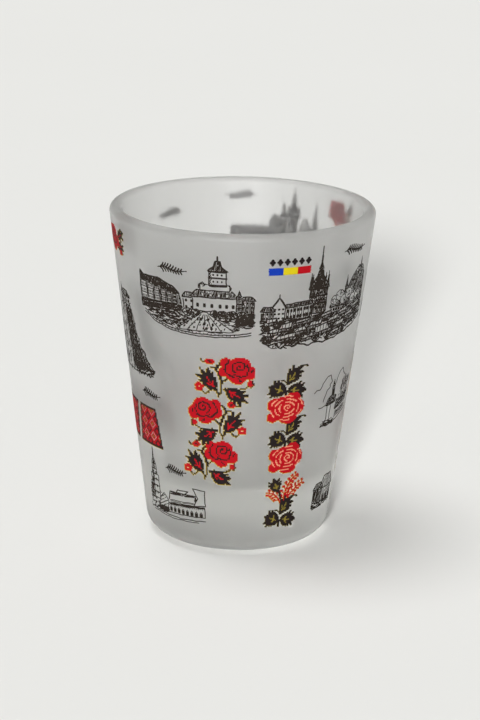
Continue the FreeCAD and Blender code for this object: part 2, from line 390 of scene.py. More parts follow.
class Drawing:
    """A pen drawing on one patch, in the design's own millimetres, x from its left edge."""
    STEP = 0.22              # distance between the points of a stroke

    def __init__(self, node, width, height, seed, points=None):
        self.node = node
        self.patch = Patch(node, (width, height), points)
        self.width = width
        self.random = random.Random(seed)
        self.strokes = []

    def stroke(self, points, width=0.17, wobble=0.035, closed=False):
        """A hand-drawn line: evenly stepped, with a slow wobble."""
        if closed:
            points = list(points) + [points[0]]
        phase = [self.random.uniform(0.0, 6.3) for _ in range(4)]
        path = []
        travelled = 0.0
        for index in range(len(points) - 1):
            (x0, y0), (x1, y1) = points[index], points[index + 1]
            length = math.hypot(x1 - x0, y1 - y0)
            count = max(1, round(length / self.STEP))
            for step in range(count + (1 if index == len(points) - 2 else 0)):
                share = step / count
                along = travelled + length * share
                dx = math.sin(along * 1.9 + phase[0]) + 0.6 * math.sin(along * 4.3 + phase[1])
                dy = math.sin(along * 2.1 + phase[2]) + 0.6 * math.sin(along * 3.9 + phase[3])
                path.append((x0 + (x1 - x0) * share + wobble * dx, y0 + (y1 - y0) * share + wobble * dy))
            travelled += length
        if len(path) > 1:
            self.strokes.append((path, width))

    def mask(self, polygon):
        """Rubs out what is already drawn inside a polygon, so nearer things hide farther ones."""
        low_x, high_x, low_y, high_y = limits(polygon)
        kept = []
        for path, width in self.strokes:
            left, right, bottom, top = limits(path)
            if right < low_x or left > high_x or top < low_y or bottom > high_y:
                kept.append((path, width))
                continue
            run = []
            for point in path:
                if inside(point[0], point[1], polygon):
                    if len(run) > 1:
                        kept.append((run, width))
                    run = []
                else:
                    run.append(point)
            if len(run) > 1:
                kept.append((run, width))
        self.strokes = kept

    def hatch(self, polygon, angle, gap, width=0.14, breaks=0.15):
        """Parallel lines across a polygon, with uneven spacing and a few gaps."""
        cos_a, sin_a = math.cos(math.radians(angle)), math.sin(math.radians(angle))
        turned = [(x * cos_a + y * sin_a, -x * sin_a + y * cos_a) for x, y in polygon]
        y = min(p[1] for p in turned) + gap * self.random.uniform(0.2, 0.8)
        top = max(p[1] for p in turned)
        while y < top:
            crossings = []
            for index, (x0, y0) in enumerate(turned):
                x1, y1 = turned[index - 1]
                if (y0 > y) != (y1 > y):
                    crossings.append(x0 + (x1 - x0) * (y - y0) / (y1 - y0))
            crossings.sort()
            for start, end in zip(crossings[::2], crossings[1::2]):
                self.broken_line(start, end, y, cos_a, sin_a, width, breaks)
            y += gap * self.random.uniform(0.75, 1.25)

    def broken_line(self, start, end, y, cos_a, sin_a, width, breaks):
        """One hatch line, lifted here and there."""
        x = start + self.random.uniform(0.0, 0.15)
        while x < end - 0.1:
            stop = end - self.random.uniform(0.0, 0.15)
            if self.random.random() < breaks * (end - start):
                stop = min(stop, x + self.random.uniform(0.4, 1.0) * (end - start))
            if stop - x > 0.12:
                ends = [(px * cos_a - y * sin_a, px * sin_a + y * cos_a) for px in (x, stop)]
                self.stroke(ends, width * self.random.uniform(0.8, 1.2), 0.03)
            x = stop + self.random.uniform(0.1, 0.3)

    def scribble(self, polygon, count, length, angle, turn_spread, width=0.15):
        """Short loose strokes scattered inside a polygon."""
        low_x, high_x, low_y, high_y = limits(polygon)
        for _ in range(count):
            x = self.random.uniform(low_x, high_x)
            y = self.random.uniform(low_y, high_y)
            if not inside(x, y, polygon):
                continue
            turn = math.radians(angle + self.random.uniform(-turn_spread, turn_spread))
            reach = length * self.random.uniform(0.5, 1.3) / 2.0
            bend = self.random.uniform(-0.3, 0.3) * reach
            dx, dy = reach * math.cos(turn), reach * math.sin(turn)
            self.stroke([(x - dx, y - dy), (x - bend * math.sin(turn), y + bend * math.cos(turn)),
                         (x + dx, y + dy)], width * self.random.uniform(0.7, 1.3), 0.02)

    def solid(self, x, y, width, height):
        """A small black rectangle, such as a window, from its bottom middle."""
        columns = max(1, math.ceil(width / 0.4))
        for column in range(columns):
            px = x + (column + 0.5 - columns / 2.0) * width / columns
            self.stroke([(px, y), (px, y + height)], width / columns * 1.15, 0.0)

    def block(self, polygon, width=0.17, angle=90.0, gap=None, hatch_width=0.14):
        """A closed shape that hides what is behind it, with optional hatching."""
        self.mask(polygon)
        if gap:
            self.hatch(polygon, angle, gap, hatch_width)
        self.stroke(polygon, width, closed=True)

    def windows(self, quad, rows, columns, width, height):
        """A grid of windows on a facade."""
        for row in range(rows):
            for column in range(columns):
                x, y = in_quad(quad, (column + 0.5) / columns, (row + 0.5) / rows)
                self.solid(x, y - height / 2.0, width, height)

    def house(self, x, y, width, wall, roof, rows=1, columns=3, gap=None, roof_gap=0.24, overhang=0.25):
        """A house seen square on, with a hipped and hatched roof."""
        front = rectangle(x, y, width, wall)
        self.block(front, gap=gap)
        self.windows(front, rows, columns, min(0.34, width / columns * 0.42), min(0.5, wall / rows * 0.5))
        self.roof(x, y + wall, width + 2 * overhang, width * 0.62, roof, roof_gap)

    def gable(self, x, y, width, wall, roof, rows=1, columns=1, gap=None):
        """A house seen from its gable end."""
        front = [(x - width / 2, y), (x + width / 2, y), (x + width / 2, y + wall), (x, y + wall + roof),
                 (x - width / 2, y + wall)]
        self.block(front, gap=gap)
        self.windows(rectangle(x, y, width, wall), rows, columns, width * 0.16, wall / rows * 0.42)
        eaves = y + wall - 0.15
        self.stroke([(x - width * 0.6, eaves), (x, y + wall + roof), (x + width * 0.6, eaves)], 0.24)

    def roof(self, x, y, width, ridge, height, gap=0.24, angle=78.0):
        """A trapezoid roof."""
        shape = [(x - width / 2, y), (x + width / 2, y),
                 (x + ridge / 2, y + height), (x - ridge / 2, y + height)]
        self.block(shape, 0.2, angle, gap)

    def pale_roof(self, x, y, wide, high, lean):
        """A barely hatched roof over a strip of dark wall, seen from above on a slope."""
        tilt = 0.12 * wide
        left, right = x - wide / 2, x + wide / 2
        wall = [(left, y - 0.5), (right, y - 0.5 + tilt), (right, y + tilt), (left, y)]
        top = [wall[3], wall[2],
               (x + wide * 0.42 + lean, y + tilt + high), (x - wide * 0.38 + lean, y + high)]
        self.block(wall, 0.2, 86.0, 0.24, 0.2)
        self.block(top, 0.22, 80.0, 0.62, 0.12)

    def spire(self, x, y, width, height, finial=0.8):
        """A dark pointed roof, narrow above its foot, with a thin finial."""
        waist = y + height * 0.3
        shape = [(x - width / 2, y), (x + width / 2, y), (x + width * 0.22, waist),
                 (x + 0.06, y + height), (x - 0.06, y + height), (x - width * 0.22, waist)]
        self.block(shape, 0.18, 86.0, 0.15, 0.16)
        self.stroke([(x, y + height - 0.1), (x, y + height + finial)], 0.15, 0.0)

    def tower(self, x, y, width, height, spire, rows=3, columns=2, gap=None, finial=0.8):
        """A square tower with cornices, windows and a spire."""
        front = rectangle(x, y, width, height)
        self.block(front, gap=gap)
        self.windows(front, rows, columns, width * 0.13, height / rows * 0.36)
        for share in (0.5, 1.0):
            level = y + height * share
            self.stroke([(x - width * 0.56, level), (x + width * 0.56, level)], 0.2, 0.01)
        self.spire(x, y + height, width * 1.16, spire, finial)

    def battlements(self, x0, x1, y, height, count):
        """A notched wall top."""
        points = []
        step = (x1 - x0) / count
        for index in range(count):
            x = x0 + step * index
            points += [(x, y), (x, y + height), (x + step * 0.55, y + height), (x + step * 0.55, y)]
        self.stroke(points + [(x1, y)], 0.16, 0.01)

    def arcade(self, x0, x1, y, height, count):
        """A row of arched openings."""
        step = (x1 - x0) / count
        for index in range(count):
            x = x0 + step * (index + 0.5)
            half = step * 0.26
            self.stroke([(x - half, y), (x - half, y + height * 0.6), (x, y + height),
                         (x + half, y + height * 0.6), (x + half, y)], 0.13, 0.01)
            self.solid(x, y, half * 1.1, height * 0.72)

    def tree(self, x, y, reach_x, reach_y, loops=26, light=False):
        """A bushy crown: a bumpy outline round loose curls."""
        bumps = max(7, int((reach_x + reach_y) * 5))
        steps = bumps * 4
        width = 0.13 if light else 0.17
        outline = []
        for index in range(steps):
            angle = 2.0 * math.pi * index / steps
            swell = 1.0 + 0.10 * abs(math.sin(angle * bumps / 2.0)) + self.random.uniform(-0.03, 0.03)
            outline.append((x + reach_x * swell * math.cos(angle), y + reach_y * swell * math.sin(angle)))
        self.mask(outline)
        self.stroke(outline, width, 0.02, closed=True)
        for _ in range(loops):
            angle = self.random.uniform(0.0, 2.0 * math.pi)
            far = math.sqrt(self.random.random()) * 0.85
            cx, cy = x + reach_x * far * math.cos(angle), y + reach_y * far * math.sin(angle)
            size = self.random.uniform(0.12, 0.3)
            start = self.random.uniform(0.0, 360.0)
            curl = arc((cx, cy), size, start, start + self.random.uniform(140.0, 260.0), 5)
            self.stroke(curl, 0.12 if light else 0.17, 0.0)

    def trees(self, spots, squash, loops, light=False):
        """Trees at spots of x, y and reach, all squashed alike."""
        for x, y, reach in spots:
            self.tree(x, y, reach, reach * squash, loops, light)

    def finish(self, name):
        """Turns the strokes into one piece."""
        vertices = []
        faces = []
        self.build(vertices, faces)
        add_piece(name, vertices, faces, [PEN_INK], self.node)

    def build(self, vertices, faces):
        """Adds every stroke as a bead, with small differences in height where they cross."""
        for number, (path, width) in enumerate(self.strokes):
            rise = 0.2 * (number % CROSSING_LEVELS) / (CROSSING_LEVELS - 1)
            self.bead(vertices, faces, path, width, INK_TOP * (0.8 + rise))

    def bead(self, vertices, faces, path, width, top):
        """One stroke as a low three-sided bead, thinner at its ends: a left foot, a right foot and a
        ridge at each point."""
        first = len(vertices)
        count = len(path)
        for index, (x, y) in enumerate(path):
            ahead = path[min(index + 1, count - 1)]
            behind = path[max(index - 1, 0)]
            dx, dy = ahead[0] - behind[0], ahead[1] - behind[1]
            length = math.hypot(dx, dy) or 1.0
            taper = END_TAPER if index in (0, count - 1) else 1.0
            half = width * PEN_WEIGHT * taper / 2.0
            nx, ny = -dy / length * half, dx / length * half
            vertices.append(self.patch.place(x + nx - self.width / 2.0, y + ny, INK_FOOT))
            vertices.append(self.patch.place(x - nx - self.width / 2.0, y - ny, INK_FOOT))
            vertices.append(self.patch.place(x - self.width / 2.0, y, top))
        for index in range(count - 1):
            a = first + index * 3
            b = a + 3
            faces += [(a, a + 1, b + 1, b), (a + 1, a + 2, b + 2, b + 1), (a + 2, a, b, b + 2)]
        end = first + (count - 1) * 3
        faces += [(first, first + 2, first + 1), (end, end + 1, end + 2)]


# ---------------------------------------------------------------- the drawings

def draw_town_square(d):
    """A row of houses in perspective, a hall with a clock-tower roof, and a paved square."""
    # ground
    d.scribble([(1.0, 3.9), (9.6, 4.8), (21.6, 4.6), (21.8, 2.2), (17.0, 1.0), (9.5, 0.9), (4.0, 1.8)],
               680, 0.9, -4.0, 16.0, 0.17)
    # left row of houses
    row = [(0.3, 4.6), (9.3, 5.2), (8.9, 7.5), (0.3, 8.6)]
    d.block(row, 0.2, 86.0, 0.30, 0.16)
    roof = [(0.3, 8.4), (9.0, 7.4), (7.6, 8.6), (4.6, 9.6), (2.8, 9.5), (1.4, 9.5), (0.5, 10.2)]
    d.block(roof, 0.24, 72.0, 0.17, 0.18)
    d.scribble(roof, 60, 0.8, -14.0, 12.0, 0.2)
    for number, x in enumerate((1.2, 2.8, 4.3, 5.7, 6.9, 8.0)):
        half = 0.72 - 0.07 * number
        base = 5.1 + 0.07 * number
        top = 8.4 - 0.2 * number
        d.block([(x - half, base), (x + half, base + 0.05), (x + half, top - 0.1), (x - half, top)], 0.17)
        for floor in range(3):
            level = base + 0.35 + (top - base) * floor / 3.0
            d.stroke([(x - half, level - 0.25), (x + half, level - 0.3)], 0.15, 0.01)
            for column in (-0.55, 0.0, 0.55):
                d.solid(x + column * half, level - 0.05, 0.15, 0.52 - 0.03 * number)
    awning = [(0.3, 3.7), (9.8, 4.5), (9.3, 5.3), (0.3, 5.2)]
    d.block(awning, 0.2, 6.0, 0.2, 0.18)
    d.scribble(awning, 90, 0.5, 82.0, 20.0, 0.2)
    # annex and hall
    d.house(10.7, 4.7, 2.0, 2.3, 0.9, 2, 2)
    hall = rectangle(15.2, 4.8, 7.6, 2.5)
    d.block(hall)
    for x in (12.3, 13.5, 14.8, 16.2, 17.3, 18.4):
        d.solid(x, 5.5, 0.42, 0.72)
    d.roof(15.2, 7.3, 8.6, 6.0, 1.3, 0.2, 80.0)
    for x in (13.2, 14.6, 16.0, 17.4):
        d.block(rectangle(x, 7.5, 0.5, 0.6), 0.12)
    d.block(rectangle(15.3, 8.6, 5.0, 1.1))
    d.stroke([(12.5, 8.9), (12.6, 9.6), (13.3, 10.0), (13.7, 9.6), (13.2, 9.3)], 0.18)
    d.stroke([(17.6, 9.7), (18.1, 9.2), (18.0, 8.7)], 0.18)
    # tower
    d.block(rectangle(15.8, 9.4, 2.9, 2.7))
    for level in (9.6, 10.9, 12.0):
        d.stroke([(14.2, level), (17.4, level)], 0.24, 0.02)
    for x in (15.1, 15.8, 16.5):
        d.solid(x, 11.3, 0.24, 0.36)
        d.solid(x, 10.1, 0.2, 0.34)
    d.hatch(rectangle(14.6, 9.6, 0.5, 2.4), 60.0, 0.24, 0.13)
    cap = [(14.1, 12.1), (17.5, 12.1), (16.5, 12.9), (16.2, 13.9), (15.4, 13.9), (15.1, 12.9)]
    d.block(cap, 0.22, 82.0, 0.18, 0.16)
    d.stroke([(15.8, 13.8), (15.8, 14.9)], 0.24, 0.0)
    # right-hand buildings
    d.house(20.8, 4.6, 2.2, 2.4, 0.7, 3, 3, 0.22, 0.16)
    d.block(rectangle(19.4, 4.7, 0.9, 3.1), 0.18, 0.0, 0.2)
    d.spire(19.4, 7.8, 0.9, 0.7, 0.4)
    d.scribble([(19.0, 2.4), (21.9, 2.6), (21.9, 4.7), (19.0, 4.7)], 150, 0.7, 2.0, 14.0, 0.2)
    # bushes in front of the hall
    for x, reach in ((10.4, 0.9), (11.9, 0.8), (15.2, 0.7), (16.6, 0.8), (18.2, 0.9), (19.9, 0.7)):
        d.tree(x, 4.4 - 0.05 * reach, reach, 0.62, 24)
    # paved fan
    fan = [(13.2, 4.6), (13.9, 4.6), (18.6, 1.2), (8.0, 1.0)]
    d.block(fan, 0.14)
    for share in (0.2, 0.36, 0.5, 0.64, 0.8):
        foot = between(fan[3], fan[2], share)
        top = between(fan[0], fan[1], share)
        d.stroke([between(top, foot, 0.12), between(top, foot, 0.97)], 0.13)
    for share in (0.3, 0.55, 0.78):
        d.scribble([between(fan[0], fan[3], share), between(fan[1], fan[2], share),
                    between(fan[1], fan[2], share + 0.14), between(fan[0], fan[3], share + 0.14)],
                   26, 0.5, 64.0, 20.0, 0.2)
    # kerb
    for drop in (0.0, 0.42):
        kerb = [(0.9, 3.3 - drop), (3.4, 1.9 - drop), (7.0, 0.9 - drop * 0.9), (11.0, 0.55 - drop * 0.9),
                (15.0, 0.55 - drop * 0.9), (19.4, 0.8 - drop), (21.6, 1.2 - drop)]
        d.stroke(kerb, 0.17)
    for share in range(26):
        x = 1.6 + share * 0.68
        y = 0.45 + 2.6 * max(0.0, (9.5 - x) / 9.0) ** 2
        d.stroke([(x, y), (x + 0.1, y + 0.34)], 0.15, 0.0)


def draw_skyline(d):
    """An old town on a slope: roofs, a long facade, a great tower with a thin spire, and a wooded hill."""
    # far hill and its churches
    hill = [(15.6, 6.6), (17.6, 9.0), (19.4, 11.6), (21.4, 13.0), (23.2, 12.6), (24.6, 11.0), (25.0, 6.0)]
    d.block(hill, 0.16, 70.0, 0.26, 0.15)
    d.scribble(hill, 330, 0.6, 40.0, 60.0, 0.15)
    d.spire(22.2, 12.6, 0.9, 1.4, 0.5)
    d.tower(17.6, 8.2, 0.8, 1.6, 1.6, 2, 1, 0.2, 0.6)
    d.trees([(15.2, 8.0, 0.9), (16.4, 8.6, 0.8), (18.9, 8.2, 0.9), (20.3, 7.6, 1.0), (22.2, 7.4, 1.0)],
            0.85, 14, True)
    # middle band of houses
    for x, y, wide in ((14.6, 5.6, 1.8), (16.6, 5.5, 1.6), (18.6, 5.2, 1.9), (20.8, 5.0, 1.9),
                       (23.2, 4.9, 2.0)):
        d.house(x, y, wide, 1.1, 1.0, 1, 3, 0.3, 0.18)
    # great tower
    for x in (9.1, 10.3, 11.8):
        d.spire(x, 10.6, 0.6, 2.4, 0.6)
    body = rectangle(10.6, 6.2, 3.7, 4.6)
    d.block(body, 0.2, 90.0, 0.3, 0.16)
    d.scribble(body, 110, 0.5, 0.0, 30.0, 0.16)
    d.windows(rectangle(10.6, 6.6, 3.4, 4.0), 3, 4, 0.3, 0.6)
    for level in (8.0, 9.4, 10.7):
        d.stroke([(8.6, level), (12.6, level)], 0.3, 0.02)
    crown = [(8.6, 10.8), (12.6, 10.8), (11.9, 12.2), (11.2, 13.2), (10.9, 14.4), (10.3, 14.4), (10.0, 13.2),
             (9.3, 12.2)]
    d.block(crown, 0.24, 88.0, 0.14, 0.17)
    d.block([(10.1, 14.4), (11.1, 14.4), (10.68, 15.6), (10.52, 15.6)], 0.18, 88.0, 0.12, 0.16)
    d.stroke([(10.6, 15.4), (10.6, 18.6)], 0.2, 0.0)
    d.stroke([(10.6, 15.4), (10.6, 17.0)], 0.3, 0.0)
    for x in (8.8, 12.4):
        d.spire(x, 10.8, 0.8, 2.3, 0.7)
    # long facade and gable tower
    facade = [(3.8, 5.4), (9.4, 5.7), (9.4, 8.2), (3.8, 7.8)]
    d.block(facade, 0.2)
    d.hatch(facade, 90.0, 0.42, 0.13)
    d.windows([between(facade[0], facade[3], 0.5), between(facade[1], facade[2], 0.5), facade[2], facade[3]],
              1, 9, 0.3, 0.66)
    d.windows([facade[0], facade[1], between(facade[1], facade[2], 0.5), between(facade[0], facade[3], 0.5)],
              1, 9, 0.34, 0.7)
    d.block([(3.8, 7.8), (9.4, 8.2), (8.9, 8.9), (4.4, 8.5)], 0.2, 80.0, 0.18, 0.16)
    d.gable(3.1, 5.6, 2.2, 2.5, 1.7, 3, 3)
    d.stroke([(3.1, 9.7), (3.1, 10.5)], 0.18, 0.0)
    d.house(1.1, 5.6, 2.2, 1.7, 0.9, 2, 3, 0.26, 0.18)
    # dense roofs below: dark walls and trees between pale roofs that follow the slope
    slope = [(0.2, 2.0), (2.0, 1.2), (9.0, 1.0), (17.0, 1.4), (25.0, 3.4), (25.0, 5.4), (14.0, 6.0),
             (8.0, 5.8), (0.2, 6.0)]
    d.scribble(slope, 820, 1.0, 16.0, 26.0, 0.22)
    for x, y, wide, high, lean in (
            (12.6, 5.2, 2.6, 0.6, 0.3), (17.0, 5.0, 3.0, 0.7, 0.4), (21.6, 5.2, 3.0, 0.7, 0.4),
            (7.6, 4.8, 3.2, 0.5, 0.3), (2.0, 5.2, 2.0, 0.7, -0.2), (14.6, 4.0, 2.8, 0.8, 0.5),
            (19.2, 4.0, 3.0, 0.7, 0.5), (23.4, 4.3, 2.2, 0.6, 0.4), (10.4, 3.8, 3.0, 0.9, 0.4),
            (4.4, 3.9, 2.4, 1.0, 0.3), (16.6, 2.8, 3.2, 0.8, 0.4), (20.8, 3.1, 2.6, 0.6, 0.4),
            (7.4, 3.1, 2.8, 0.7, -0.3), (12.4, 2.4, 3.4, 1.2, -0.5), (2.2, 3.2, 2.0, 0.7, 0.2),
            (4.4, 1.9, 4.0, 0.8, 0.4), (9.0, 1.7, 2.6, 0.8, 0.3), (15.6, 1.6, 2.4, 0.6, 0.3)):
        d.pale_roof(x, y, wide, high, lean)
    d.trees([(0.9, 4.1, 0.7), (6.1, 3.9, 0.7), (9.0, 2.9, 0.7), (14.9, 3.1, 0.7), (18.6, 3.3, 0.7),
             (22.4, 3.6, 0.7), (1.0, 2.2, 0.8), (6.8, 1.7, 0.8), (10.9, 1.5, 0.8), (13.8, 1.5, 0.8),
             (17.8, 2.0, 0.8), (11.0, 5.2, 0.7), (24.2, 5.3, 0.7)], 0.7, 26)
    d.trees([(14.6, 7.9, 0.9), (15.9, 8.6, 1.0), (17.1, 7.6, 0.9), (18.6, 8.5, 1.0), (20.2, 7.3, 0.9)],
            0.9, 6, True)
    d.tree(2.6, 1.1, 1.1, 0.6, 10, True)
    for x, y in ((0.3, 1.6), (3.3, 0.6), (4.6, 1.0)):
        d.stroke([(x, y), (x + 0.6, y - 0.3), (x + 1.0, y + 0.1), (x + 1.7, y - 0.35)], 0.2, 0.06)
    # ragged lower edge
    edge = [(0.3, 1.9), (1.4, 1.1), (2.6, 1.3), (3.8, 0.4), (4.6, 0.9), (6.0, 0.5), (7.2, 1.0), (9.0, 0.4),
            (10.6, 0.7), (13.0, 0.5), (16.0, 0.9), (19.5, 1.5), (22.5, 2.2), (25.0, 3.0)]
    d.stroke(edge, 0.24, 0.08)
    d.scribble([(0.4, 1.0), (24.0, 2.4), (24.6, 3.4), (12.0, 1.6), (0.4, 2.2)], 120, 0.7, 8.0, 20.0, 0.2)


def draw_rock_castle(d):
    """A steep crag, dark on its right side, with a stair and a small keep on top."""
    crag = [(0.4, 1.0), (3.0, 0.6), (8.0, 0.5), (12.0, 0.8), (14.2, 1.6), (12.4, 3.4), (10.6, 5.6),
            (9.4, 8.4), (8.8, 11.0), (7.8, 12.8), (5.4, 13.0), (3.0, 12.0), (1.4, 9.6), (0.4, 6.0)]
    d.block(crag, 0.2)
    dark = [(7.0, 1.0), (13.6, 1.5), (11.6, 3.6), (10.0, 6.2), (9.0, 9.2), (8.3, 12.0), (5.8, 12.6),
            (6.0, 8.0)]
    d.hatch(dark, 66.0, 0.22, 0.17)
    d.scribble(dark, 420, 0.9, 66.0, 22.0, 0.19)
    d.scribble(crag, 260, 1.2, 74.0, 26.0, 0.15)
    d.house(6.2, 12.4, 3.2, 1.5, 1.1, 1, 4, 0.3, 0.2)
    d.tower(4.4, 12.0, 1.2, 2.2, 1.4, 2, 1, 0.3, 0.5)
    d.battlements(6.6, 8.4, 13.9, 0.4, 4)
    stair = [(14.0, 1.5), (12.8, 2.2), (13.0, 3.0), (11.8, 3.6), (12.0, 4.6), (10.8, 5.4)]
    d.stroke(stair, 0.22, 0.05)
    d.scribble([(8.0, 0.4), (14.4, 0.6), (14.4, 2.0), (9.0, 1.8)], 60, 0.8, 20.0, 30.0, 0.2)


def draw_lower_town(d):
    """A lantern tower with balconies beside a long house with an arcade."""
    d.scribble([(0.4, 0.6), (4.6, 0.8), (5.0, 3.4), (3.4, 6.4), (1.4, 5.6)], 160, 0.6, 14.0, 40.0, 0.15)
    d.block(rectangle(2.8, 3.0, 2.4, 4.6), 0.16)
    for level in (4.2, 5.4, 6.6, 7.6, 8.6, 9.6):
        half = 1.4 - (level - 4.2) * 0.13
        d.stroke([(2.8 - half, level), (2.8 + half, level)], 0.18)
    for foot, waist, neck in ((2.0, 2.2, 2.7), (3.6, 3.4, 2.9)):
        d.stroke([(foot, 7.6), (waist, 9.6), (neck, 10.9), (2.8, 12.8)], 0.17)
    d.windows(rectangle(2.8, 3.4, 1.8, 5.2), 4, 2, 0.28, 0.5)
    d.hatch([(1.7, 3.0), (2.6, 3.0), (2.7, 9.6), (2.1, 8.4)], 70.0, 0.26, 0.16)
    d.hatch([(2.4, 8.6), (3.2, 8.6), (2.85, 12.4)], 86.0, 0.18, 0.16)
    d.scribble([(0.8, 3.0), (2.0, 3.0), (2.0, 6.6), (1.0, 5.6)], 60, 0.5, 60.0, 40.0, 0.17)
    # long house
    d.block([(6.2, 3.0), (12.6, 3.7), (12.4, 5.6), (6.9, 5.4)], 0.18)
    d.hatch([(6.6, 3.2), (12.4, 3.8), (12.2, 4.4), (6.6, 3.8)], 4.0, 0.25, 0.1)
    d.block([(8.4, 5.5), (10.4, 5.6), (11.0, 6.2), (8.8, 6.1)], 0.16)
    d.block([(12.0, 3.6), (14.3, 3.9), (14.2, 6.9), (11.9, 7.0), (12.9, 5.2)], 0.16)
    d.hatch([(12.1, 4.4), (12.9, 4.6), (12.8, 5.2), (12.2, 5.4)], 40.0, 0.16, 0.2)
    wall = [(5.6, 1.2), (14.2, 1.6), (14.2, 3.6), (5.8, 2.9)]
    d.block(wall, 0.15)
    d.stroke([(5.8, 2.9), (14.2, 3.55)], 0.3)
    d.arcade(6.4, 13.9, 1.5, 1.1, 8)
    d.hatch([(6.0, 2.5), (14.1, 3.1), (14.1, 3.5), (6.0, 2.85)], 84.0, 0.26, 0.15)
    d.hatch([(6.9, 4.9), (12.4, 5.3), (12.4, 5.6), (6.9, 5.4)], 4.0, 0.14, 0.14)
    d.block([(3.4, 1.2), (5.9, 1.1), (6.4, 3.4), (5.2, 4.6), (4.2, 3.6)], 0.15, 30.0, 0.5, 0.12)
    d.scribble([(3.2, 1.0), (6.2, 1.0), (6.2, 1.9), (3.2, 2.0)], 70, 0.6, 4.0, 10.0, 0.24)
    d.stroke([(0.6, 1.0), (5.0, 0.7), (9.0, 0.55), (14.3, 0.9)], 0.14)
    d.stroke([(1.4, 0.6), (7.0, 0.2), (13.0, 0.4)], 0.12)


def draw_line_castle(d):
    """A gate tower among trees drawn in outline."""
    tree_line = [(0.2, 8.1), (0.7, 8.6), (1.5, 8.6), (2.0, 9.4), (2.6, 10.2), (3.2, 10.7), (3.9, 10.8),
                 (4.2, 10.1), (4.6, 9.5), (4.1, 9.0), (4.2, 8.5), (3.4, 8.0), (3.0, 7.0), (2.7, 5.9)]
    d.stroke(tree_line, 0.15, 0.05)
    d.stroke([(5.6, 8.2), (6.2, 9.6), (7.0, 10.9), (7.8, 11.2), (8.4, 10.2), (9.2, 9.6)], 0.14, 0.06)
    d.scribble([(7.6, 5.6), (11.8, 5.0), (12.0, 8.6), (9.4, 9.4), (8.0, 8.0)], 150, 0.7, 80.0, 20.0, 0.16)
    d.block([(4.0, 2.0), (5.0, 2.1), (5.1, 5.2), (4.1, 5.1)], 0.16)
    d.block([(3.6, 5.0), (6.4, 5.2), (6.6, 6.4), (5.2, 6.8), (4.0, 6.2)], 0.2, 20.0, 0.2, 0.16)
    d.tower(5.4, 6.2, 0.7, 2.2, 0.9, 2, 1, 0.22, 0.4)
    d.block([(6.6, 3.6), (11.4, 4.4), (11.6, 5.8), (6.8, 5.0)], 0.18, 12.0, 0.22, 0.15)
    d.battlements(6.8, 9.0, 5.1, 0.4, 5)
    d.stroke([(1.6, 5.0), (2.6, 4.9), (3.6, 5.2)], 0.14)
    d.scribble([(2.6, 1.0), (6.4, 1.1), (6.4, 2.2), (3.0, 2.1)], 60, 0.9, 4.0, 10.0, 0.15)
    d.stroke([(2.7, 1.4), (4.4, 1.1), (6.6, 1.4), (9.4, 2.2), (11.8, 2.8)], 0.18)
    d.hatch([(6.6, 2.0), (11.6, 3.2), (11.6, 4.0), (6.8, 3.2)], 14.0, 0.3, 0.14)


def draw_gate_house(d):
    """A small fortified gate house."""
    d.block(rectangle(4.6, 1.6, 5.0, 2.6), 0.18, 90.0, 0.3, 0.15)
    d.block([(0.5, 2.0), (3.0, 1.6), (3.2, 4.6), (0.5, 4.4)], 0.18, 84.0, 0.2, 0.17)
    d.roof(4.8, 4.2, 5.6, 2.6, 2.4, 0.34, 74.0)
    d.roof(1.9, 4.5, 3.2, 1.6, 1.1, 0.2, 76.0)
    d.arcade(3.4, 7.0, 1.7, 1.3, 3)
    d.scribble([(0.4, 0.6), (7.6, 1.0), (7.6, 1.9), (0.4, 1.9)], 90, 0.8, 4.0, 14.0, 0.15)


def draw_chapel(d):
    """A chapel with a porch and a pointed tower."""
    d.tree(8.2, 3.6, 1.2, 1.6, 30)
    d.house(5.6, 1.8, 5.6, 3.2, 2.2, 1, 4, None, 0.22)
    d.tower(3.2, 1.8, 2.2, 6.0, 3.6, 4, 2, None, 1.2)
    d.gable(6.8, 1.4, 1.8, 1.7, 1.2)
    d.tree(1.2, 2.4, 0.9, 1.1, 22)
    d.scribble([(0.3, 0.5), (9.4, 0.6), (9.4, 1.8), (0.3, 1.7)], 150, 0.9, 2.0, 12.0, 0.15)


def draw_twin_spire(d):
    """A castle on a rise with one tall spire and one small one."""
    rise = [(0.4, 3.6), (6.0, 5.6), (12.0, 5.8), (18.6, 5.0), (18.6, 1.0), (0.4, 0.8)]
    d.block(rise, 0.16)
    d.scribble(rise, 620, 0.8, 10.0, 34.0, 0.2)
    d.block([(0.4, 6.0), (4.6, 6.2), (4.6, 9.2), (3.4, 9.9), (2.0, 9.4), (0.4, 9.4)], 0.2, 80.0, 0.34, 0.2)
    d.tower(1.3, 7.4, 0.9, 2.8, 3.2, 2, 1, 0.22, 0.8)
    d.gable(3.5, 6.4, 1.7, 3.0, 1.6, 3, 1, 0.3)
    d.battlements(10.6, 18.4, 8.5, 0.4, 11)
    d.block([(10.6, 5.0), (18.4, 5.2), (18.4, 8.5), (10.6, 8.5)], 0.24, 88.0, 0.17, 0.22)
    d.windows([(10.8, 6.4), (18.2, 6.4), (18.2, 8.3), (10.8, 8.3)], 2, 8, 0.36, 0.5)
    d.gable(9.9, 5.6, 2.0, 4.0, 1.5, 3, 2, 0.18)
    d.tower(8.2, 5.8, 1.5, 4.9, 2.4, 3, 2, 0.17, 0.5)
    d.tower(6.2, 5.8, 1.8, 6.0, 3.6, 4, 2, 0.17, 0.9)
    for x in (5.1, 7.2):
        d.spire(x, 10.8, 0.7, 1.8, 0.4)
    for x in (2.0, 5.2, 9.4, 13.0, 16.4):
        d.tree(x, 4.2, 1.2, 0.9, 24)


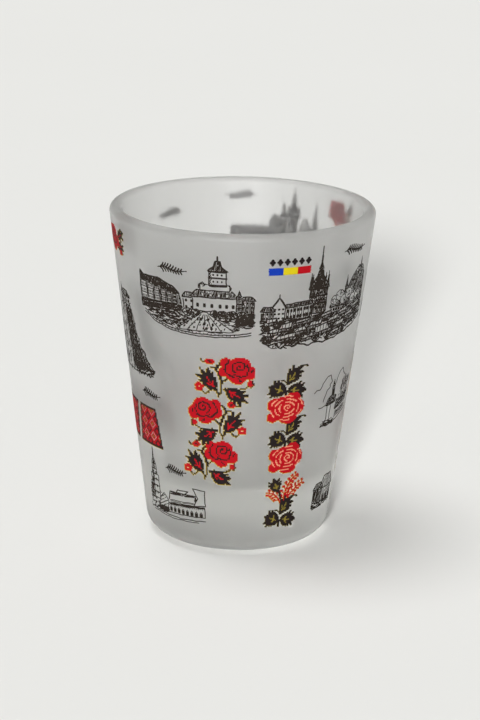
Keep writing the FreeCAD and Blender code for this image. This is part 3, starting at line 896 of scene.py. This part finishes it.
def draw_hill_fortress(d):
    """A round-towered fortress on a hill."""
    hill = [(0.4, 0.8), (16.8, 0.8), (15.2, 3.6), (12.4, 6.4), (9.6, 8.2), (4.8, 8.2), (1.8, 5.6)]
    d.block(hill, 0.18)
    d.scribble(hill, 620, 0.9, 66.0, 34.0, 0.17)
    d.block([(3.4, 7.4), (11.6, 7.2), (11.4, 10.6), (3.6, 10.6)], 0.2, 0.0, 0.3, 0.15)
    d.battlements(3.6, 11.4, 10.6, 0.5, 10)
    for x, wide in ((3.8, 1.7), (11.0, 1.9)):
        d.tower(x, 6.6, wide, 4.6, 2.2, 3, 2, 0.3, 0.6)
    d.tower(7.2, 8.0, 2.4, 4.4, 2.2, 3, 2, None, 0.8)
    for x, y in ((1.8, 2.2), (5.0, 2.0), (9.4, 2.2), (13.4, 2.0)):
        d.tree(x, y, 1.3, 1.0, 26)


def draw_wooden_church(d):
    """A shingled church with a very tall spire."""
    d.house(5.8, 1.6, 6.6, 2.2, 3.2, 1, 5, 0.34, 0.17)
    d.tower(4.0, 3.8, 1.9, 4.4, 6.2, 3, 2, 0.24, 1.2)
    for x in (3.2, 4.8):
        d.spire(x, 8.1, 0.5, 1.2, 0.2)
    d.stroke([(0.8, 1.6), (0.8, 3.0), (1.6, 3.0), (1.6, 1.6)], 0.16)
    d.tree(9.6, 3.0, 0.9, 1.4, 26)
    d.scribble([(0.3, 0.4), (10.4, 0.4), (10.4, 1.7), (0.3, 1.6)], 150, 0.9, 2.0, 10.0, 0.15)


def draw_bridge(d):
    """A stone bridge of three arches."""
    d.house(2.0, 4.2, 2.4, 1.3, 1.2, 1, 2)
    d.tower(4.2, 4.2, 1.0, 2.0, 1.6, 2, 1, 0.3, 0.5)
    d.tree(8.6, 5.0, 1.3, 1.1, 28)
    d.block([(0.4, 1.6), (10.4, 1.8), (10.4, 4.0), (5.4, 4.7), (0.4, 3.9)], 0.2, 0.0, 0.32, 0.13)
    for x in (2.3, 5.4, 8.5):
        opening = arc((x, 1.6), 1.15, 0.0, 180.0, 10)
        d.mask(opening)
        d.stroke(opening, 0.2)
    d.scribble([(0.4, 0.4), (10.4, 0.4), (10.4, 1.7), (0.4, 1.6)], 110, 1.2, 0.0, 6.0, 0.13)


def draw_farmhouse(d):
    """A farmhouse with a veranda, a haystack and a fence."""
    d.tree(11.6, 4.2, 1.5, 1.9, 36)
    d.house(5.8, 1.6, 7.4, 2.4, 2.6, 1, 6, None, 0.2)
    d.arcade(2.4, 9.2, 1.6, 1.5, 6)
    d.block([(10.0, 1.5), (12.6, 1.5), (12.2, 3.0), (11.3, 4.2), (10.4, 3.0)], 0.16, 84.0, 0.18, 0.14)
    d.stroke([(0.4, 2.6), (2.2, 2.5)], 0.15)
    for index in range(6):
        d.stroke([(0.5 + index * 0.34, 1.5), (0.5 + index * 0.34, 3.0)], 0.15)
    d.scribble([(0.3, 0.4), (13.2, 0.5), (13.2, 1.6), (0.3, 1.5)], 170, 1.0, 2.0, 8.0, 0.14)


# ---------------------------------------------------------------- cross-stitch kit

RED, BLACK, YELLOW, PALE, OLIVE, BLUE, BRIGHT = range(7)
STITCH_INKS = [RED_INK, BLACK_INK, YELLOW_INK, PALE_INK, OLIVE_INK, BLUE_INK, BRIGHT_YELLOW_INK]


class Stitches:
    """Square printed stitches on one patch, in cells counted from its lower left corner."""

    def __init__(self, node, cell, seed=1, points=None):
        self.node = node
        self.patch = Patch(node, None, points)
        self.cell = cell
        self.columns = int(self.patch.width / cell)
        self.rows = int(self.patch.height / cell)
        self.cells = {}
        self.random = random.Random(seed)
        self.flip = 1.0
        self.origin = (0.0, 0.0)
        self.trims = {}

    def at(self, x, y):
        """A design point on the grid, mirrored about the current origin if the motif is flipped."""
        return (self.origin[0] + self.flip * x, self.origin[1] + y)

    def dot(self, x, y, colour):
        """One stitch."""
        column, row = math.floor(x), math.floor(y)
        if 0 <= column < self.columns and 0 <= row < self.rows:
            self.cells[(column, row)] = colour

    def blob(self, x, y, reach_x, reach_y, colour, ragged=0.0):
        """A filled ellipse."""
        cx, cy = self.at(x, y)
        for column in range(math.floor(cx - reach_x) - 1, math.ceil(cx + reach_x) + 2):
            for row in range(math.floor(cy - reach_y) - 1, math.ceil(cy + reach_y) + 2):
                far = ((column + 0.5 - cx) / reach_x) ** 2 + ((row + 0.5 - cy) / reach_y) ** 2
                if far < 1.0 + ragged * (self.random.random() - 0.5):
                    self.dot(column + 0.5, row + 0.5, colour)

    def line(self, points, colour, thick=False):
        """A run of stitches along a polyline."""
        places = [self.at(x, y) for x, y in points]
        for (x0, y0), (x1, y1) in zip(places, places[1:]):
            count = max(1, math.ceil(max(abs(x1 - x0), abs(y1 - y0)) * 1.5))
            for step in range(count + 1):
                x = x0 + (x1 - x0) * step / count
                y = y0 + (y1 - y0) * step / count
                self.dot(x, y, colour)
                if thick:
                    self.dot(x + 1.0, y, colour)

    def curve(self, x, y, reach_x, reach_y, start, end, colour):
        """Stitches along part of an ellipse, angles in degrees."""
        self.line(oval_arc(x, y, reach_x, reach_y, start, end, 12), colour)

    def taper(self, start, end, wide_start, wide_end, colour):
        """A thick line whose width changes evenly along it."""
        count = max(2, math.ceil(math.hypot(end[0] - start[0], end[1] - start[1]) * 1.5))
        for step in range(count + 1):
            share = step / count
            x, y = between(start, end, share)
            half = max(0.72, (wide_start + (wide_end - wide_start) * share) / 2.0)
            self.blob(x, y, half, half, colour)

    def leaf(self, x, y, length, width, angle, pairs, colour, vein, side_veins=0, body=0.55):
        """A lobed leaf from its stalk end, with a coloured rib.  Sizes in cells, body a share of width."""
        cos_a, sin_a = math.cos(math.radians(angle)), math.sin(math.radians(angle))

        def spot(along, across):
            return (x + along * cos_a - across * sin_a, y + along * sin_a + across * cos_a)

        self.taper(spot(0, 0), spot(length * 0.42, 0), 1.6, width * body, colour)
        self.taper(spot(length * 0.42, 0), spot(length, 0), width * body, 0.8, colour)
        for pair in range(pairs):
            root = length * (0.20 + 0.40 * pair / max(1, pairs - 1))
            reach = width / 2.0 * (1.0 - 0.16 * abs(pair - (pairs - 1) / 2.0))
            for side in (-1, 1):
                tip = spot(root + length * 0.24, side * reach)
                self.taper(spot(root, side * width * 0.1), tip, length * 0.22, 1.6, colour)
        self.line([spot(length * 0.18, 0), spot(length * 0.6, 0)], vein)
        for pair in range(side_veins):
            root = length * (0.26 + 0.28 * pair)
            for side in (-1, 1):
                self.line([spot(root, 0), spot(root + length * 0.13, side * width * 0.2)], vein)

    def trim_box(self, vertices, faces, column, row, dx, dy):
        """A narrow slab beside a stitch, on its left or its lower side.  Returns its number of faces."""
        wide_x = TRIM_SHARE if dx else 1.0
        wide_y = TRIM_SHARE if dy else 1.0
        x0 = column + dx * TRIM_SHARE
        y0 = row + dy * TRIM_SHARE
        first = len(vertices)
        for lift in (INK_FOOT, TRIM_TOP):
            for x, y in ((x0, y0), (x0 + wide_x, y0), (x0 + wide_x, y0 + wide_y), (x0, y0 + wide_y)):
                vertices.append(self.corner_place(x, y, lift))
        ring = [first, first + 1, first + 2, first + 3]
        faces += [ring[::-1], [index + 4 for index in ring]]
        for side in range(4):
            after = (side + 1) % 4
            faces.append([ring[side], ring[after], ring[after] + 4, ring[side] + 4])
        return 2 + len(ring)

    def corner_place(self, column, row, lift):
        """The point of space for a corner of the grid."""
        return self.patch.place(column * self.cell - self.patch.width / 2.0, row * self.cell, lift)

    def finish(self, name, slot="rose_ink"):
        """Turns the stitches into one piece."""
        vertices = []
        faces = []
        tones = []
        self.build(vertices, faces, tones)
        add_piece(name, vertices, faces, STITCH_INKS, self.node, tones)

    def build(self, vertices, faces, tones):
        """Adds the top and foot of every stitch, and walls where a colour ends."""
        index_of = {}

        def corner(column, row, lift, tone):
            key = (column, row, lift, tone)
            if key not in index_of:
                index_of[key] = len(vertices)
                vertices.append(self.corner_place(column, row, lift))
            return index_of[key]

        for (column, row), tone in sorted(self.cells.items()):
            ring = [(column, row), (column + 1, row), (column + 1, row + 1), (column, row + 1)]
            top = [corner(c, r, INK_TOP, tone) for c, r in ring]
            foot = [corner(c, r, INK_FOOT, tone) for c, r in ring]
            faces += [top, foot[::-1]]
            tones += [tone, tone]
            for side, (dx, dy) in enumerate(((0, -1), (1, 0), (0, 1), (-1, 0))):
                if self.cells.get((column + dx, row + dy)) != tone:
                    after = (side + 1) % 4
                    faces.append([foot[side], foot[after], top[after], top[side]])
                    tones.append(tone)
            for dx, dy in ((-1, 0), (0, -1)):
                if tone in self.trims and (column + dx, row + dy) not in self.cells:
                    tones += [self.trims[tone]] * self.trim_box(vertices, faces, column, row, dx, dy)


SPIRAL_STEPS = 14            # steps in one turn of a rose's heart
ROSE_STRETCH = 1.12          # how much wider than high a rose's lines are


def spiral(s, x, y, start_reach, end_reach, turns, start, colour):
    """Stitches along a widening spiral."""
    points = []
    count = math.ceil(turns * SPIRAL_STEPS)
    for step in range(count + 1):
        share = step / count
        angle = math.radians(start + 360.0 * turns * share)
        reach = start_reach + (end_reach - start_reach) * share
        points.append((x + ROSE_STRETCH * reach * math.cos(angle), y + reach * math.sin(angle)))
    s.line(points, colour)


def dark_lined_rose(s, x, y):
    """A full rose whose petals are parted by black stitches."""
    for dx, dy, reach_x, reach_y in ((-7.6, 5.8, 4.4, 4.2), (-9.2, -0.8, 3.8, 4.2), (8.8, -1.8, 4.6, 5.4),
                                     (0.4, -6.4, 5.4, 4.2), (1.6, 5.2, 7.4, 5.4), (-0.4, -0.6, 9.6, 7.6)):
        s.blob(x + dx, y + dy, reach_x, reach_y, RED)
    spiral(s, x + 1.6, y + 3.0, 0.6, 5.2, 1.55, 40.0, BLACK)
    s.curve(x - 1.4, y + 1.6, 7.4, 6.4, 150, 262, BLACK)
    s.line([(x - 2.6, y - 3.0), (x + 2.0, y - 4.8), (x + 6.6, y - 3.6)], BLACK)
    s.line([(x + 6.8, y + 4.4), (x + 7.6, y + 0.8), (x + 6.4, y - 2.6)], BLACK)
    s.line([(x - 5.6, y - 3.4), (x - 8.2, y - 1.6), (x - 9.0, y + 0.8)], BLACK)
    s.line([(x - 6.2, y + 7.4), (x - 7.4, y + 5.0)], BLACK)
    s.line([(x + 10.4, y + 0.6), (x + 9.8, y - 1.6)], BLACK)
    s.line([(x + 0.6, y - 6.6), (x + 2.6, y - 8.2)], BLACK)


def small_bud(s, x, y, lean):
    """A bud with a black calyx."""
    s.blob(x, y, 3.2, 2.4, RED)
    s.line([(x - 0.6, y + 0.4), (x + 0.8, y - 0.6)], BLACK)
    s.line([(x - 3.8 * lean, y - 1.0), (x - 5.4 * lean, y - 0.4), (x - 6.4 * lean, y + 1.2)], BLACK)


def rose_motif(s, x, y, flip):
    """Rose, two lobed leaves, three buds and their stems, round the foot of the stem."""
    s.origin = (x, y)
    s.flip = flip
    s.line([(0, -3), (0, -1), (1, 0), (2, 3), (1.6, 7), (3, 10), (6, 12), (8, 13)], BLACK)
    s.line([(0, -1), (-2, 2)], BLACK)
    s.line([(2, 8), (1, 12), (-0.4, 16), (-2.4, 19), (-1, 22), (1, 24)], BLACK, True)
    s.line([(-2.4, 20), (-5, 20)], BLACK, True)
    s.line([(4, 3), (8, 4.6), (13, 3.6), (18, 4.6), (20.6, 6)], BLACK)
    s.leaf(-1.6, 2, 20.5, 12, 125, 3, BLACK, RED, 1)
    s.leaf(4.4, 4, 19.5, 12, -33, 3, BLACK, RED, 1)
    dark_lined_rose(s, 13, 18.6)
    small_bud(s, -6.4, 25, 1)
    s.blob(22.0, 8.6, 2.3, 2.3, RED)
    s.line([(23.4, 10.6), (24.4, 7.6), (23.0, 5.6)], BLACK)
    for dx, dy in ((0, 2.0), (2.0, 0.6), (1.2, -1.8), (-1.4, -1.8), (-2.0, 0.8)):
        s.blob(-14.5 + dx, 4.4 + dy, 1.5, 1.5, RED)
    s.line([(-12.4, 1.4), (-10.4, -0.6), (-8.4, 0.2), (-6.6, 2)], BLACK)


def make_dark_rose_column(node, name):
    """Three rose motifs, the middle one mirrored."""
    s = Stitches(node, 0.235, 5)
    for x, y, flip in ((18.8, 6.4, 1.0), (33.4, 40.5, -1.0), (30.8, 74.0, 1.0)):
        rose_motif(s, x, y, flip)
    s.trims = {BLACK: YELLOW, RED: YELLOW}
    s.finish(name)


def pale_lined_rose(s, x, y):
    """A full-blown rose whose petals are parted by pale stitches."""
    for dx, dy, reach_x, reach_y in ((-11.0, 4.6, 6.0, 6.2), (-11.5, -7.0, 5.4, 4.6), (10.5, 1.0, 6.4, 7.4),
                                     (2.0, -8.4, 8.4, 5.4), (-2.4, 6.8, 7.6, 5.6), (5.4, 9.2, 7.0, 6.2),
                                     (-1.0, 0.0, 12.4, 9.4)):
        s.blob(x + dx, y + dy, reach_x, reach_y, RED, 0.12)
    spiral(s, x + 1.2, y + 1.6, 0.4, 3.4, 1.2, 200.0, PALE)
    for reach, petals, shift, share in ((6.2, 3, 15.0, 0.74), (9.6, 5, 40.0, 0.70), (13.0, 6, 10.0, 0.52)):
        for petal in range(petals):
            start = shift + 360.0 * petal / petals
            end = start + 360.0 * share / petals
            s.curve(x + 0.4, y + 1.0, reach * ROSE_STRETCH, reach * 0.86, start, end, PALE)


def veined_leaf(s, x, y, length, width, angle):
    """A dark serrated leaf with olive veins."""
    s.leaf(x, y, length, width, angle, 3, BLACK, OLIVE, 1, 0.84)


def leaf_trio(s, x, y):
    """Three dark leaves round a stalk, and a tendril."""
    s.line([(x - 1, y - 8), (x - 1, y - 2)], BLACK, True)
    veined_leaf(s, x - 1.6, y - 2.0, 14, 16, 158)
    veined_leaf(s, x + 1.6, y - 1.6, 17, 15, -4)
    veined_leaf(s, x + 0.6, y + 4.6, 19, 13, 56)
    s.line([(x + 9.6, y + 17), (x + 12.6, y + 20), (x + 16, y + 20.6), (x + 17.6, y + 19)], BLACK, True)
    s.line([(x - 5, y + 8.6), (x - 2.6, y + 8.4), (x, y + 6)], BLACK)


def fern(s, x, y, angle, length, bend):
    """A red frond that bends over, with a bud on the end of each leaflet."""
    for step in range(int(length)):
        heading = math.radians(angle + bend * step)
        x += math.cos(heading)
        y += math.sin(heading)
        s.dot(x, y, RED)
        s.dot(x + 0.7, y, RED)
        if step % 4 == 3:
            for turn in (58, -58):
                reach = 5.0 * (1.0 - 0.5 * step / length)
                side = heading + math.radians(turn)
                tip = (x + reach * math.cos(side), y + reach * math.sin(side))
                s.line([(x, y), tip], RED)
                s.blob(tip[0], tip[1], 1.3, 1.3, RED)


def make_pale_rose_column(node, name):
    """Two full-blown roses between leaf trios, over a spray of ferns."""
    s = Stitches(node, 0.2, 9)
    leaf_trio(s, 18, 134)
    leaf_trio(s, 21, 86)
    pale_lined_rose(s, 19.5, 115)
    pale_lined_rose(s, 23.5, 66.5)
    fern(s, 21, 24, 112, 19, 3.2)
    fern(s, 24, 25, 92, 30, -2.0)
    fern(s, 26, 25, 62, 24, -1.6)
    s.line([(22, 24), (19, 34), (16, 42)], BLACK, True)
    veined_leaf(s, 17, 36, 13, 12, 108)
    leaf_trio(s, 21, 9)
    s.trims = {BLACK: OLIVE, RED: YELLOW}
    s.finish(name)


def make_rose_sprig(node, name, flip):
    """A rose with leaves to one side, just under the rim."""
    s = Stitches(node, 0.22, 3)
    s.origin = (s.columns / 2.0, s.rows / 2.0)
    s.flip = flip
    s.leaf(8, 2, 12, 9, 24, 2, BLACK, RED, 0, 0.62)
    s.leaf(7, -3, 12, 8, -20, 2, BLACK, RED, 0, 0.62)
    s.line([(10, 5), (14, 9), (19, 8)], BLACK, True)
    dark_lined_rose(s, -4, 0)
    s.blob(12, -9.5, 3.0, 2.4, RED)
    s.line([(5, -6), (9, -8)], BLACK)
    s.trims = {BLACK: YELLOW, RED: YELLOW}
    s.finish(name)


STAR_REPEAT = 12             # cells from one ornament star to the next
BORDER = 2.0                 # width of an ornament's border, in cells


def fill_ornament(s, low_share, high_share, number):
    """A red block with a black border: olive stars inside bare lozenges, in a black lattice."""
    for column in range(s.columns):
        for row in range(s.rows):
            rise = (row + 0.5) / s.rows
            half = s.columns / 2.0 * (low_share + (high_share - low_share) * rise)
            across = column + 0.5 - s.columns / 2.0
            rim = min(half - abs(across), row + 0.5, s.rows - row - 0.5)
            star = (abs(int(abs(across)) % STAR_REPEAT - STAR_REPEAT // 2)
                    + abs((row + number * 3) % STAR_REPEAT - STAR_REPEAT // 2))
            if rim < 0.0 or (rim >= BORDER and star == 4):
                continue
            if rim < BORDER or star in (8, 9):
                tone = BLACK
            elif star < 2:
                tone = OLIVE
            else:
                tone = RED
            s.cells[(column, row)] = tone


def make_ornaments():
    """The row of red blocks, each as wide at its low and high edge as its CAD solid."""
    vertices, faces, tones = [], [], []
    for number, points in enumerate(islands("folk_ornaments")):
        s = Stitches("folk_ornaments", 0.2, 1, points)
        low = s.patch.spread_at(points, s.patch.low) * wall_radius(s.patch.low)
        high = s.patch.spread_at(points, s.patch.high) * wall_radius(s.patch.high)
        fill_ornament(s, low / max(low, high), high / max(low, high), number)
        s.trims = {BLACK: YELLOW}
        s.build(vertices, faces, tones)
    add_piece("folk_ornament_row", vertices, faces, STITCH_INKS, "folk_ornaments", tones)


def make_colour_bar():
    """Three colours side by side with slightly worn ends, under a row of black lozenges."""
    s = Stitches("colour_bar", 0.1, 17)
    bar_rows = s.rows // 2 - 1
    end_share = 0.7
    lozenges = 6
    for column in range(s.columns):
        tone = (BLUE, BRIGHT, RED)[min(2, column * 3 // s.columns)]
        for row in range(bar_rows):
            if 0 < column < s.columns - 1 or s.random.random() < end_share:
                s.cells[(column, row)] = tone
    half = (s.rows - bar_rows - 4) / 2.0
    for index in range(lozenges):
        middle = s.columns * (index + 0.5) / lozenges
        for column in range(s.columns):
            for row in range(bar_rows + 3, s.rows):
                if abs(column + 0.5 - middle) + abs(row + 0.5 - (s.rows - half)) * 0.86 < half:
                    s.cells[(column, row)] = BLACK
    s.finish("three_colour_bar", "bar_ink")


def make_flourishes():
    """A pen vine with small leaves beside each of the main drawings."""
    vertices, faces = [], []
    stem_steps = 20
    for seed, points in enumerate(islands("pen_flourishes"), 200):
        d = Drawing("pen_flourishes", 6.4, 2.4, seed, points)
        stem = []
        for step in range(stem_steps + 1):
            share = step / stem_steps
            stem.append((0.3 + 5.6 * step / stem_steps, 1.2 + 0.22 * math.sin(share * 2.0 * math.pi)))
        d.stroke(stem, 0.16, 0.01)
        for index in range(8):
            x, y = stem[2 + index * 2]
            for side in (-1.0, 1.0):
                reach = 0.95 - 0.05 * index
                bend = (x + reach * 0.55, y + side * reach * 0.42)
                tip = (x + reach * 0.8, y + side * reach * 0.95)
                d.stroke([(x, y), bend, tip], 0.24, 0.0)
        d.stroke([stem[-1], (6.2, stem[-1][1])], 0.28, 0.0)
        d.build(vertices, faces)
    add_piece("pen_flourish_vines", vertices, faces, [PEN_INK], "pen_flourishes")


# ---------------------------------------------------------------- stage

CAMERA_ELEVATION = 17.15     # degrees
CAMERA_DISTANCE = 0.39883
CAMERA_ROLL = 1.06           # degrees
AIM_HEIGHT = 0.03117
LENS = 110.65                # millimetres
TABLE_REACH = 12.0
TABLE_DROP = 0.0002          # how far the table top is below the frame's zero
BACKDROP = 0.74              # brightness along the horizon
BACKDROP_TOP = (0.02, 0.14)  # the backdrop fades out between these rises of the view above the horizon


def make_floor():
    """A plain pale table top that also fills the background."""
    material, shader, nodes, links = new_material("pale_table")
    shader.inputs["Roughness"].default_value = 1.0
    shader.inputs["Specular IOR Level"].default_value = 0.0
    grain = noise(nodes, links, 6.0, 3.0)
    pale = colour_between(nodes, links, grain, (0.79, 0.79, 0.767), (0.81, 0.81, 0.787))
    links.new(pale, shader.inputs["Base Color"])
    corners = rectangle(0.0, -TABLE_REACH, 2.0 * TABLE_REACH, 2.0 * TABLE_REACH)
    mesh = bpy.data.meshes.new("table_top")
    mesh.from_pydata([(x, y, 0.0) for x, y in corners], [], [(0, 1, 2, 3)])
    mesh.materials.append(material)
    floor = add_object("table_top", mesh)
    floor.location.z = -TABLE_DROP


def make_light(name, towards, angle, strength):
    """A soft even light that comes from the direction of towards, angle degrees across."""
    data = bpy.data.lights.new(name, "SUN")
    data.angle = math.radians(angle)
    data.energy = strength
    light = add_object(name, data)
    light.location = towards
    light.rotation_mode = "QUATERNION"
    light.rotation_quaternion = Vector(towards).to_track_quat("Z", "Y")


def make_world(horizon, zenith, dim_side):
    """A grey-white room, dimmer to the right of the glass, over a pale backdrop along the horizon."""
    world = bpy.data.worlds.new("studio")
    world.use_nodes = True
    nodes, links = world.node_tree.nodes, world.node_tree.links
    coords = nodes.new("ShaderNodeTexCoord")
    split = nodes.new("ShaderNodeSeparateXYZ")
    links.new(coords.outputs["Generated"], split.inputs["Vector"])
    rise = spread(nodes, links, split.outputs["Z"], horizon, zenith)
    side = spread(nodes, links, split.outputs["X"], 1.0, dim_side)
    product = nodes.new("ShaderNodeMath")
    product.operation = "MULTIPLY"
    links.new(rise, product.inputs[0])
    links.new(side, product.inputs[1])
    above = nodes.new("ShaderNodeMapRange")
    above.interpolation_type = "SMOOTHSTEP"
    above.inputs["From Min"].default_value = BACKDROP_TOP[0]
    above.inputs["From Max"].default_value = BACKDROP_TOP[1]
    links.new(split.outputs["Z"], above.inputs["Value"])
    mix = nodes.new("ShaderNodeMix")
    mix.inputs["A"].default_value = BACKDROP
    links.new(above.outputs["Result"], mix.inputs["Factor"])
    links.new(product.outputs["Value"], mix.inputs["B"])
    links.new(mix.outputs["Result"], nodes["Background"].inputs["Strength"])
    nodes["Background"].inputs["Color"].default_value = (1.0, 1.0, 0.985, 1.0)
    bpy.context.scene.world = world


def make_camera():
    """The main viewpoint, above the front of the glass and slightly rolled."""
    data = bpy.data.cameras.new("camera")
    data.lens = LENS
    camera = add_object("camera", data)
    angle = math.radians(CAMERA_ELEVATION)
    back = Vector((0.0, -math.cos(angle), math.sin(angle)))
    camera.location = Vector((0.0, 0.0, AIM_HEIGHT)) + back * CAMERA_DISTANCE
    camera.rotation_mode = "QUATERNION"
    roll = Quaternion((0, 0, 1), math.radians(CAMERA_ROLL))
    camera.rotation_quaternion = (-back).to_track_quat("-Z", "Y") @ roll
    bpy.context.scene.camera = camera


DRAWINGS = (                 # motif, design width and height in millimetres, seed, what draws it
    ("town_square", 22.0, 15.0, 11, draw_town_square),
    ("skyline", 25.4, 18.8, 23, draw_skyline),
    ("rock_castle", 14.8, 17.2, 31, draw_rock_castle),
    ("lower_town", 14.6, 13.0, 41, draw_lower_town),
    ("line_castle", 12.2, 11.6, 53, draw_line_castle),
    ("gate_house", 7.9, 8.0, 61, draw_gate_house),
    ("chapel", 9.8, 14.0, 67, draw_chapel),
    ("twin_spire", 19.0, 16.4, 71, draw_twin_spire),
    ("hill_fortress", 17.6, 16.0, 83, draw_hill_fortress),
    ("wooden_church", 10.8, 16.4, 97, draw_wooden_church),
    ("bridge", 10.8, 9.0, 101, draw_bridge),
    ("farmhouse", 13.6, 9.4, 103, draw_farmhouse),
)

make_glass()
for motif, width, height, seed, draw in DRAWINGS:
    drawing = Drawing(motif + "_print", width, height, seed)
    draw(drawing)
    drawing.finish(motif + "_drawing")
make_dark_rose_column("rose_column_left", "dark_lined_roses_front")
make_dark_rose_column("rose_column_back", "dark_lined_roses_back")
make_pale_rose_column("rose_column_right", "pale_lined_roses_front")
make_pale_rose_column("rose_column_side", "pale_lined_roses_side")
make_rose_sprig("rose_sprig_left", "rose_sprig_under_rim_left", 1.0)
make_rose_sprig("rose_sprig_back", "rose_sprig_under_rim_back", -1.0)
make_ornaments()
make_colour_bar()
make_flourishes()

make_floor()
make_light("key_soft_box", towards=(-0.5, -3.8, 1.16), angle=6.5, strength=3.9)
make_light("top_soft_box", towards=(-0.42, 0.1, 1.6), angle=28.0, strength=1.25)
make_world(horizon=0.27, zenith=0.33, dim_side=0.4)
make_camera()
scene = bpy.context.scene
scene.view_settings.view_transform = "Standard"
scene.cycles.use_denoising = True
scene.cycles.max_bounces = 16
scene.cycles.transmission_bounces = 16
